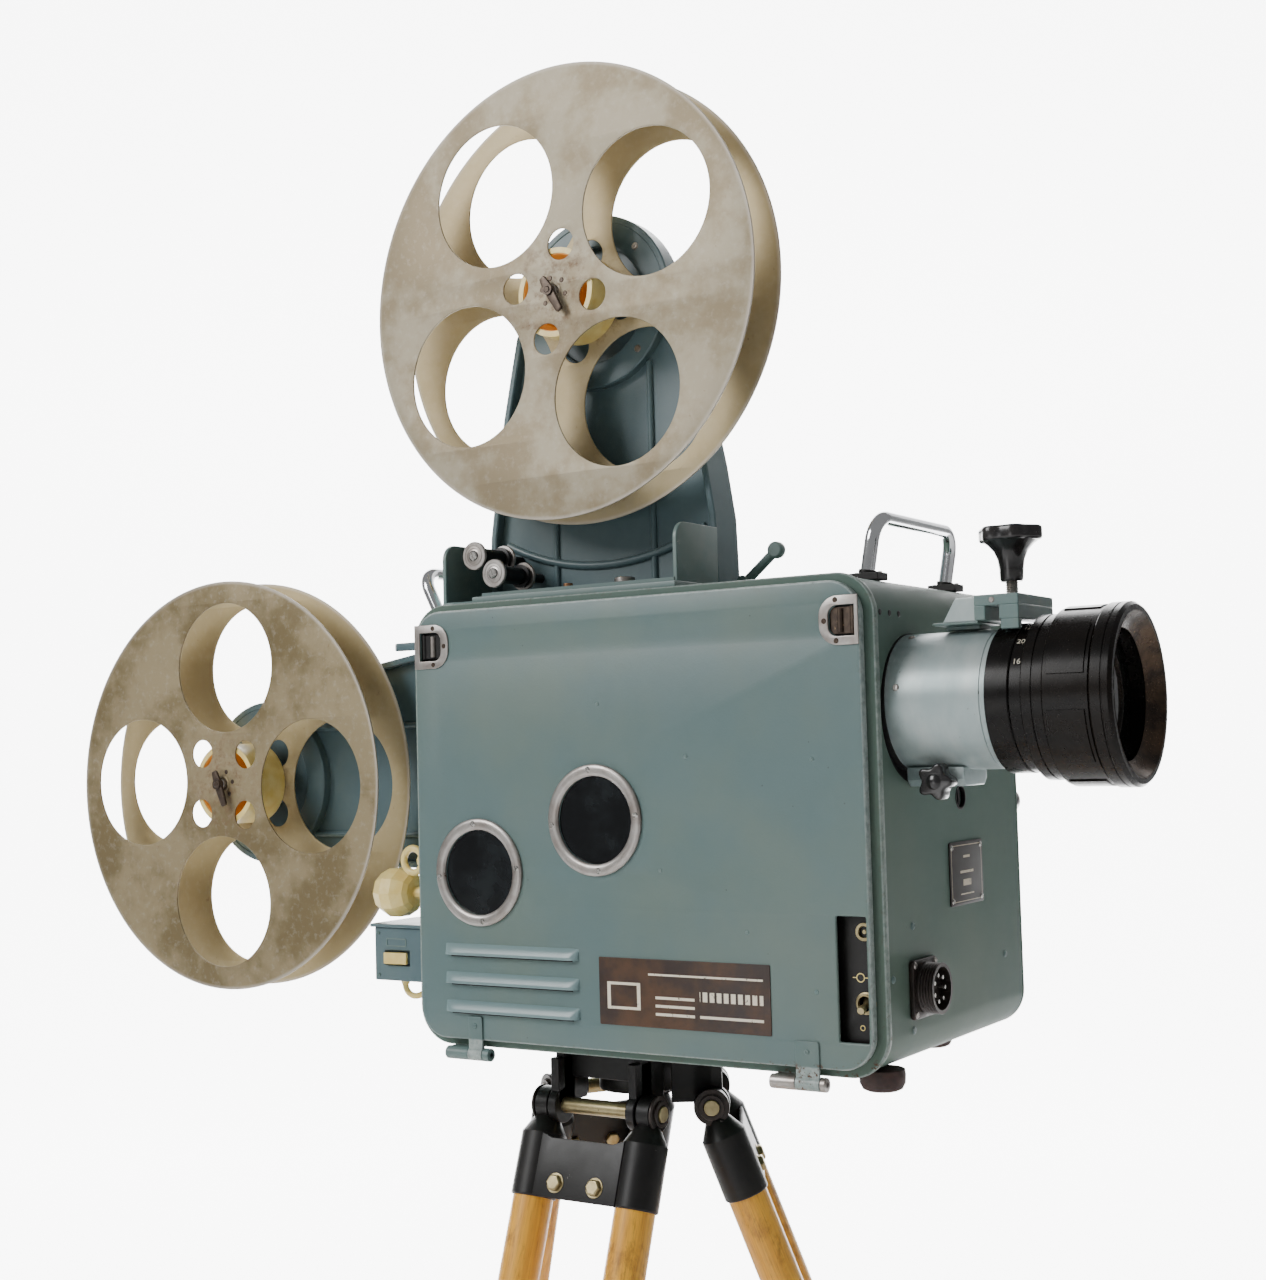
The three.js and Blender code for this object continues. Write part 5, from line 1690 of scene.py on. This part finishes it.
@dataclass
class Tray:
    """The film tray on top with its studs, rollers and the clamp lever beside it."""

    rollers: tuple[tuple[str, float, float], ...] = (("upper", -184.0, 399.7), ("lower", -163.4, 383.3))
    body: str = Body.CASE.value

    @staticmethod
    def cheek(y0: float, y1: float, z0: float, z1: float, corner: float) -> list[Flat]:
        """A rectangle with a large round corner at its top front."""
        return [(y0, z0), (y1, z0), (y1, z1), *arc((y0 + corner, z1 - corner), corner, 90, 180)]

    def pan(self) -> None:
        """The sheet walls, the floor and the front lip."""
        form = Form()
        for x0, x1 in ((-213, -209), (18, 22)):
            form.plate(self.cheek(-93, -28.5, 356, 411, 14), [], x0, x1, Axis.X, 0.9)
        shelf = [(-160, -120.4), (36, -120.4), (36, -28.5), (-174.6, -28.5), (-174.6, -93.1), (-160, -93.1)]
        form.plate(shelf, [], 354.3, 361, Axis.Z, 0.9)
        form.plate(
            [(-213, -93.1), (-200.4, -93.1), (-200.4, -28.5), (-213, -28.5)], [], 354.3, 361, Axis.Z, 0.9)
        form.block(-201, -174, -93.1, -88.2, 354.8, 360.6)
        form.block(-201, -174, -39.8, -28.5, 354.8, 360.6)
        form.block(-171, 20, -93, -89, 360.5, 366.5)
        piece("tray_pan", form, self.body, TRIM_ENAMEL, ["top_tray"])
        stud = Form().lathe(
            [(0, 361), (7.5, 361), (7.5, 364), (4, 364.6), (4, 372), (0, 372)], Axis.Z, (-104, -62, 0), 40)
        piece("tray_stud_low", stud, self.body, COPPER, soften=0.3)
        stud = Form().lathe(
            [(0, 361), (4.5, 361), (4.5, 369), (8.5, 369.4), (8.5, 372.5), (7.6, 373.4), (0, 373.6)], Axis.Z,
            (-50, -58, 0), 40)
        piece("tray_stud_high", stud, self.body, STEEL, soften=0.3)
        screws(
            "tray_screws", [(-150, -106, 361), (-70, -106, 361), (24, -106, 361), (-4, -60, 361),
                            (-140, -45, 361)], (0, 0, 1), 3.4, self.body, BRIGHT_STEEL)

    def roll(self, name: str, x: float, z: float) -> None:
        """One film roller: black body, silver end discs, centre screw."""
        node = f"film_roller_{name}"
        body = [
            (0, -87.4), (4.4, -87.4), (4.4, -84.4), (7.5, -83.4), (7.5, -50), (10, -49.6), (10, -47.6),
            (7.5, -47.2), (7.5, -45), (11, -44.8), (11, -42.4), (4, -42.2), (4, -18.3), (0, -18.3)]
        piece(f"roller_body_{name}", Form().lathe(body, Axis.Y, (x, 0, z), 56), node, BLACK_PAINT, [node])
        disc = [
            (4, -84), (12, -83.7), (12, -85.8), (11.3, -86.3), (9.4, -86.3), (9.1, -85.9), (8.4, -85.9),
            (8.1, -86.4), (6.6, -86.5), (6.3, -86.1), (5, -86.1), (4, -86.6), (4, -84)]
        ends = Form().lathe(disc, Axis.Y, (x, 0, z), 64)
        ends.lathe(
            [(7.4, -45.4), (11.8, -45.1), (12.4, -43.7), (11.8, -42.2), (7.4, -42), (7.4, -45.4)], Axis.Y,
            (x, 0, z), 64)
        piece(f"roller_discs_{name}", ends, node, STEEL)
        screws(f"roller_screw_{name}", [(x, -87.3, z)], (0, -1, 0), 4.2, node, BRIGHT_STEEL, 0.9, 0.9)

    def lever(self) -> None:
        """The small handle beside the tray."""
        form = Form().rod(5.2, Axis.Y, -7, 7, (31, 0, 367.2), 32)
        form.tube(smooth_path([(31, 0, 367.2), (46, 0, 379.4), (60, 0, 391)], 4), 4, 20)
        form.lathe(
            [(0, -4.5), (5.4, -4.5), (6.6, -3.6), (7, -1.8), (7, 1.8), (6.6, 3.6), (5.4, 4.5), (0, 4.5)],
            Axis.Y, (60.5, 0, 391.4), 40)
        piece("lever_handle", form, "clamp_lever", TRIM_ENAMEL, ["clamp_lever"], 0.5)

    def build(self) -> None:
        """Builds tray, rollers and lever."""
        self.pan()
        for row in self.rollers:
            self.roll(*row)
        self.lever()


# ---------- reels and arms
@dataclass
class Reel:
    """A film reel of two tinned flanges, with its core, spindle and flip key."""

    name: str
    x: float
    z: float
    turn: float
    key: float
    finish: TinPlate
    radius: float = 190.0

    def at(self, radius: float, degrees: float) -> Flat:
        """A place on the reel, from its centre, at an angle from the X direction."""
        a = math.radians(self.turn + degrees)
        return self.x + radius * math.cos(a), self.z + radius * math.sin(a)

    def flanges(self) -> None:
        """Both flanges with four large holes, four small ones and hub rivets."""
        body = f"{self.name}_reel"
        holes = [circle(60.5, 72, self.at(109, 90 * k)) for k in range(4)]
        holes += [circle(13, 40, self.at(39.5, 90 * k + 45)) for k in range(4)]
        holes.append(circle(5.6, 32, (self.x, self.z)))
        form = Form()
        for low, high in ((-86, -84.4), (-42.8, -41.2)):
            form.plate(circle(self.radius, 180, (self.x, self.z)), holes, low, high, Axis.Y, 0.5)
        form.bend(self.wave)
        piece(f"{body}_flanges", form, body, self.finish, [f"{body}_front", f"{body}_rear"])
        rivets = [self.at(12, 60 * k + 12) for k in range(6)]
        screws(f"{body}_rivets", [(x, -85.9, z) for x, z in rivets], (0, -1, 0), 2.3, body, BRONZE, 0.6, 0.05)
        boss = Form().lathe(
            [(5.7, -86.6), (7.2, -86.6), (7.8, -86.3), (7.8, -85.9), (5.7, -85.9), (5.7, -86.6)], Axis.Y,
            (self.x, 0, self.z), 64)
        boss.lathe(
            [(5.7, -85.4), (5.7, -84.8), (9, -84.8), (9, -85.4), (5.7, -85.4)], Axis.Y, (self.x, 0, self.z),
            48)
        piece(f"{body}_boss", boss, body, self.finish)

    def wave(self, p: Vector) -> Vector:
        """Lets the flat sheet wander a little, as pressed tin does."""
        far = math.hypot(p.x - self.x, p.z - self.z) / self.radius
        a = math.atan2(p.z - self.z, p.x - self.x)
        return p + Vector((0, 0.5 * far * far * math.sin(2 * a + self.turn), 0))

    def core(self) -> None:
        """The ivory rings and the four spokes between the flanges."""
        body = f"{self.name}_reel"
        at = (self.x, 0, self.z)
        form = Form().pipe(37.5, 32.5, Axis.Y, -84.1, -43.1, at, 96)
        form.pipe(11, 5.6, Axis.Y, -84.1, -43.1, at, 48)
        for k in range(4):
            spoke = Form().block(9.5, 33.5, -84.1, -43.1, -2.25, 2.25)
            form.add(spoke, posed(at, -self.turn - 90 * k, "Y"))
        piece(f"{body}_hub", form, body, IVORY, [f"{body}_core"], 0.4)
        # The amber lining glows faintly: painted light.
        lining = Form().pipe(32.4, 31.9, Axis.Y, -83, -44, at, 72)
        piece(f"{body}_lining", lining, body, SELF_LIT_AMBER)

    def spindle(self) -> None:
        """The spindle with its collar and the flip key that holds the reel."""
        at = (self.x, 0, self.z)
        profile = [
            (0, -90), (4.4, -90), (5, -89.4), (5, -40.8), (16, -40.8), (17, -40), (17, -36.6), (16, -35.8),
            (12, -35), (12, -30), (0, -30)]
        piece(f"{self.name}_spindle_rod", Form().lathe(profile, Axis.Y, at, 56), f"{self.name}_reel", STEEL,
              [f"{self.name}_spindle"])
        outline = [
            (-3, 12), (-2, 13.2), (2, 13.2), (3, 12), (4.6, 1), (3.2, -20), (2, -21.4), (-2, -21.4),
            (-3.2, -20), (-4.6, 1)]
        form = Form().plate(outline, [], -94, -91, Axis.Y, 0.8)
        form.rod(4.6, Axis.Y, -95.5, -90.3, (0, 0, 0), 32)
        form.lathe([(0, -96.2), (2, -96.2), (3, -95.4), (0, -95.4)], Axis.Y, (0, 0, 0), 32)
        node = f"{self.name}_reel_key"
        piece(f"{self.name}_flip_key", Form().add(form, posed(at, self.key, "Y")), node, BRONZE, [node])

    def build(self) -> None:
        """Builds the reel."""
        self.flanges()
        self.core()
        self.spindle()


@dataclass
class Arm:
    """A cast reel arm with a lip along its edges, a web, ribs and a hub."""

    name: str
    origin: Point
    along: Point
    across: Point
    high_edge: tuple[Flat, ...]
    low_edge: tuple[Flat, ...]
    back_limit: tuple[Flat, ...] = ((-77, 16), (130, 36), (300, 36))
    tip: float = 77.0
    lip: float = 6.0
    arc_rib: bool = False
    body: str = Body.CASE.value

    def outline(self, inset: float) -> list[Flat]:
        """The arm's outline in its own plane, drawn in by a distance.

        Args:
            inset: the distance.

        Returns:
            The points, starting at the foot of the low edge and ending at the foot of the high one.
        """
        end = self.high_edge[-1][0] - inset
        spots = []
        for u, v in reversed(self.low_edge):
            spots.append((min(u, end), -(v - inset)))
        first = math.degrees(math.atan2(-self.low_edge[0][1], self.low_edge[0][0]))
        last = math.degrees(math.atan2(self.high_edge[0][1], self.high_edge[0][0]))
        span = 360 - (last - first)
        spots += arc((0, 0), self.tip - inset, first, first - span, 48)[1:-1]
        for u, v in self.high_edge:
            spots.append((min(u, end), v - inset))
        return spots

    def depth(self, u: float) -> float:
        """How deep the arm is at a distance from its spindle."""
        for (u0, w0), (u1, w1) in zip(self.back_limit, self.back_limit[1:]):
            if u <= u1:
                return w0 + (w1 - w0) * max(0.0, (u - u0)) / (u1 - u0)
        return self.back_limit[-1][1]

    def placed(self, u: float, v: float, w: float) -> Vector:
        """A place on the arm in the drawing's frame; w runs back from the arm's front face."""
        spot = Vector(self.origin) + Vector(self.along) * u + Vector(self.across) * v
        return spot + Vector((0, w, 0))

    def build(self) -> None:
        """Builds the casting, its inner ring and ribs, and its screws."""
        form = Form()
        stations = [
            (self.lip, 10, 0), (self.lip, 1.2, 0), (self.lip - 1, 0.2, 0), (1.0, 0.0, 0), (0.0, 1.0, 0),
            (0.0, -1.0, 1), (0.8, 0.0, 1), (self.lip - 1, 0.0, 1), (self.lip, -0.8, 1), (self.lip, 14.6, 0)]
        rings = []
        for inset, w, end in stations:
            ring = []
            for u, v in self.outline(inset):
                back = self.depth(u) + w if end else w
                ring.append(self.placed(u, v, max(back, 0.0)))
            rings.append(ring)
        form._grid(rings, True)
        inner = self.outline(self.lip - 0.6)
        form._grid([[self.placed(u, v, w) for u, v in inner] for w in (10, 15)], False)
        length = self.high_edge[-1][0]
        turn = self.frame()
        ring = Form().lathe(
            [(50, 1.4), (51, 0.8), (71, 0.8), (72, 1.6), (72, 11), (50, 11), (50, 1.4)], Axis.Z, (0, 0, 0),
            120)
        ring.lathe([(0, -1), (20.6, -1), (22, 0), (22, 10.6), (0, 10.6)], Axis.Z, (0, 0, 0), 64)
        for side in (50, -50):
            ring.tube([(u, side, 9.2) for u in (54, length - 3)], 2.8, 16)
        if self.arc_rib:
            curve = [math.radians(d) for d in range(-27, 28, 3)]
            ring.tube([(223 * math.cos(a), 223 * math.sin(a), 8.8) for a in curve], 3.6, 16)
        form.add(ring, turn)
        piece(f"{self.name}_casting", form, self.body, ARM_ENAMEL, [self.name], 0.0, 28)
        spots = [
            self.placed(62 * math.cos(a), 62 * math.sin(a), 0.8)
            for a in (math.radians(45 + 90 * k) for k in range(4))]
        screws(f"{self.name}_screws", [tuple(s) for s in spots], (0, -1, 0), 3.2, self.body)

    def frame(self) -> Matrix:
        """The matrix that takes the arm's own u, v and w to the drawing's frame."""
        return Matrix([*zip(self.along, self.across, (0, 1, 0), self.origin), (0, 0, 0, 1)])


# ---------- the tripod
@dataclass
class Tripod:
    """The stand: head, three brackets and three double wooden legs."""

    x: float = -86.0
    floor: float = -980.0
    length: float = 983.3
    lean: float = -20.5
    turns: tuple[int, ...] = (-90, 30, 150)

    def head(self) -> None:
        """The black head: disc, post, and a cheek pair with its pin for every leg."""
        form = Form().lathe(
            [(0, -15.3), (60.5, -15.3), (62, -14), (62, -4.6), (60.5, -3.3), (0, -3.3)], Axis.Z,
            (self.x, 0, 0), 96)
        form.pipe(34, 24, Axis.Z, -52, -14.3, (self.x, 0, 0), 64)
        pins = Form()
        washers = Form()
        for degrees in self.turns:
            arm = Form()
            for t in (-38, 38):
                arm.block(28, 62, t - 4, t + 4, -58, -3.5)
                arm.rod(15, Axis.Y, t - 4, t + 4, (61, 0, -59), 48)
                arm.block(46, 70, t - 4, t + 4, -58, -20)
            arm.block(44, 50, -38, 38, -38, -4.3)
            turn = posed((self.x, 0, 0), degrees, "Z")
            form.add(arm, turn)
            pins.add(Form().rod(6.4, Axis.Y, -62.4, 62.4, (61, 0, -59), 40), turn)
            washer = Form()
            for side in (-1, 1):
                for radius, near, far in ((14.6, 56.2, 58.6), (10.4, 58.4, 60.8)):
                    low, high = sorted((side * near, side * far))
                    washer.pipe(radius, 6.6, Axis.Y, low, high, (61, 0, -59), 48)
            washers.add(washer, turn)
        piece("stand_head", form, Body.CASE.value, BLACK_PAINT, ["tripod_head"], 1.2)
        piece("stand_pins", pins, Body.CASE.value, BRASS, soften=0.8)
        piece("stand_washers", washers, Body.CASE.value, SOCKET_METAL, soften=0.7)

    def leg(self, number: int, degrees: float, wood: Wood) -> None:
        """One leg: bracket with sleeves, two poles, cross bars, a shoe and the bracket's bolts.

        Args:
            number: the leg's number.
            degrees: its direction round the stand.
            wood: the finish of its poles.
        """
        low = -self.length + 88
        turn = posed((self.x, 0, 0), degrees, "Z") @ posed((61, 0, -59), self.lean, "Y")
        bracket = Form().plate(
            [(-40, -76), (40, -76), (40, -25.5), (30, -29), (-30, -29), (-40, -25.5)], [], 12.6, 16.6, Axis.X,
            0.6)
        for t in (-49.5, 49.5):
            bracket.lathe(
                [(0, -76), (17.6, -76), (18.5, -75), (18.5, -25.4), (17.6, -24), (8.6, -8.8), (7.4, -8),
                 (0, -8)], Axis.Z, (0, t, 0), 64)
            bracket.rod(14, Axis.Y, t - 6, t + 6, (0, 0, 0), 48)
        body = f"leg_{number}"
        piece(
            f"leg_sleeves_{number}", Form().add(bracket, turn), body, BLACK_PAINT, [f"leg_bracket_{number}"],
            0.8)
        bolts = Form()
        for t in (-19, 19):
            bolts.lathe([(0, 16.4), (6.8, 16.4), (6.8, 20), (5.6, 21), (0, 21)], Axis.X, (0, t, -64), 6)
            bolts.rod(8, Axis.X, 16.3, 17.2, (0, t, -64), 32)
            bolts.lathe([(0, 8.6), (5.6, 8.6), (6.8, 9.4), (6.8, 12.8), (0, 12.8)], Axis.X, (0, t, -64), 6)
        piece(f"leg_bolts_{number}", Form().add(bolts, turn), body, BRASS, soften=0.4)
        poles = Form()
        for t in (-49.5, 49.5):
            poles.lathe(
                [(0, low - 34), (15.6, low - 34), (16.5, low - 32), (16.5, -30.3), (0, -30.3)], Axis.Z,
                (0, t, 0), 48)
        poles.block(-11, 11, -50, 50, low - 30, low + 6)
        poles.block(-7, 7, -50, 50, -self.length / 2 - 12, -self.length / 2 + 12)
        piece(f"leg_wood_{number}", Form().add(poles, turn), body, wood, [f"leg_poles_{number}"])
        shoe = Form().lathe(
            [(0, -self.length - 20), (15, -self.length - 20), (15, -self.length + 22),
             (11, -self.length + 26), (13, low - 20), (0, low - 20)], Axis.Z, (0, 0, 0), 48)
        cutter = Form().block(-1200, 1200, -1200, 1200, self.floor - 300, self.floor)
        mesh = carved(Form().add(shoe, turn), cutter, f"leg_shoe_{number}")
        finish_piece(f"leg_shoe_{number}", mesh, body, BLACK_PAINT)
        caps = Form()
        for t in (-49.5, 49.5):
            caps.lathe(
                [(16.7, low - 33), (17.6, low - 33), (17.6, low - 12), (16.7, low - 12), (16.7, low - 33)],
                Axis.Z, (0, t, 0), 48)
        piece(f"leg_caps_{number}", Form().add(caps, turn), body, BLACK_PAINT)

    def build(self) -> None:
        """Builds the stand."""
        self.head()
        for number, degrees in enumerate(self.turns, 1):
            a, b = math.radians(degrees), math.radians(self.lean)
            down = (-math.sin(b) * math.cos(a), -math.sin(b) * math.sin(a), -math.cos(b))
            wood = Wood(f"leg_wood_{number}", "wood", tone(236, 172, 50), tone(206, 136, 34), down=down)
            self.leg(number, degrees, wood)


# ---------- the studio
@dataclass
class Studio:
    """Camera, floor and soft lights round the projector."""

    eye: Point = (0.89865, -1.19750, 1.21425)
    azimuth: float = 32.894
    elevation: float = -3.424
    roll: float = -1.512
    focal: float = 50.24
    glow: float = 7.0

    def camera(self) -> None:
        """Makes the camera and makes it the scene's own."""
        data = bpy.data.cameras.new("camera")
        data.sensor_fit = "VERTICAL"
        data.sensor_height = 36
        data.lens = self.focal
        data.clip_end = 60
        az, el = math.radians(self.azimuth), math.radians(self.elevation)
        back = Vector((math.sin(az) * math.cos(el), -math.cos(az) * math.cos(el), math.sin(el)))
        right = (-back).cross(Vector((0, 0, 1))).normalized()
        up = right.cross(-back)
        a = math.radians(self.roll)
        across = right * math.cos(a) + up * math.sin(a)
        above = up * math.cos(a) - right * math.sin(a)
        made = linked("camera", data)
        made.matrix_world = Matrix((
            (across.x, above.x, back.x, self.eye[0]),
            (across.y, above.y, back.y, self.eye[1]),
            (across.z, above.z, back.z, self.eye[2]),
            (0, 0, 0, 1),
        ))
        bpy.context.scene.camera = made

    def world(self) -> None:
        """A plain near-white surrounding."""
        world = bpy.data.worlds.new("studio")
        world.use_nodes = True
        ground = world.node_tree.nodes["Background"]
        ground.inputs["Color"].default_value = (1.0, 1.0, 1.0, 1)
        ground.inputs["Strength"].default_value = 0.29
        bpy.context.scene.world = world

    def lights(self) -> None:
        """A key light from the upper left, a fill from the right and one from behind."""
        rows = (
            ("key", (-1.5, -2.5, 3.0), (0, 0, 1.15), 1.6, 92.0),
            ("fill", (-0.6, -3.4, 0.7), (0, 0, 1.1), 1.2, 10.0),
            ("rim", (0.4, 2.6, 2.6), (0, 0, 1.2), 1.6, 10.0))
        for name, spot, aim, size, power in rows:
            data = bpy.data.lights.new(name, "AREA")
            data.shape = "SQUARE"
            data.size = size
            data.energy = power
            made = linked(name, data)
            made.location = spot
            made.rotation_euler = (Vector(aim) - Vector(spot)).to_track_quat("-Z", "Y").to_euler()

    def backdrop(self) -> Material:
        """A pale surface whose far part glows, as a lit backdrop does."""
        shader = Shader("pale_floor")
        x, y, _ = shader.parts(shader.place())
        az = math.radians(self.azimuth)
        depth = y * (math.cos(az) * MM) - x * (math.sin(az) * MM)
        side = x * (math.cos(az) * MM) + y * (math.sin(az) * MM)
        lit = depth.between(1.6, 2.6) * (1 - abs(side).between(3.4, 4.4))
        glow = shader.mix(lit, (0.0, 0.0, 0.0), (1.0, 1.0, 1.0))
        return shader.surface(
            Base_Color=(0.94, 0.94, 0.94), Roughness=0.9, Emission_Color=glow, Emission_Strength=self.glow)

    def floor(self) -> None:
        """A pale floor that curves up behind the object."""
        mesh = bpy.data.meshes.new("floor")
        rows = [(-8.0, 0.0), *arc((4.0, 3.0), 3.0, -90, 0, 14), (7.0, 9.0)]
        turn = Matrix.Rotation(math.radians(self.azimuth), 3, "Z")
        verts = []
        for depth, height in rows:
            for side in (-12.0, 12.0):
                spot = turn @ Vector((side, depth, 0))
                verts.append((spot.x, spot.y, height))
        faces = [(2 * k, 2 * k + 1, 2 * k + 3, 2 * k + 2) for k in range(len(rows) - 1)]
        mesh.from_pydata(verts, [], faces)
        mesh.shade_smooth()
        mesh.materials.append(self.backdrop())
        linked("floor", mesh)

    def build(self) -> None:
        """Builds the studio."""
        self.camera()
        self.world()
        self.floor()
        self.lights()


UPPER_EDGE = ((17, 82), (52, 90), (88, 98), (147, 108), (192, 115), (258, 117))
LOWER_TOP_EDGE = ((17, 82), (52, 90), (88, 98), (147, 108), (192, 115), (272.4, 119))
LOWER_BOTTOM_EDGE = ((60, 78.5), (272.4, 80))


def main() -> None:
    """Builds the studio and every assembly in order."""
    Studio().build()
    Case().build()
    Mechanism().build()
    Door().build()
    Switches().build()
    RearControls().build()
    Lens().build()
    Handles().build()
    Tray().build()
    for name, x, z, turn, key, tin in (
            ("upper", -95.0, 613.0, 33, -30, (tone(138, 124, 97), tone(168, 158, 136))),
            ("lower", -485.5, 209.6, -1.5, -22, (tone(112, 98, 66), tone(144, 130, 99)))):
        Reel(name, x, z, turn, key, TinPlate(f"{name}_tin", "tinned_sheet", *tin, centre=(x, z))).build()
    Arm("upper_arm", (-95, -28, 613), (0, 0, -1), (-1, 0, 0), UPPER_EDGE, UPPER_EDGE, arc_rib=True).build()
    Arm("lower_arm", (-485.5, -28, 209.6), (1, 0, 0), (0, 0, -1), LOWER_BOTTOM_EDGE, LOWER_TOP_EDGE).build()
    Tripod().build()


if __name__ == "__main__":
    main()
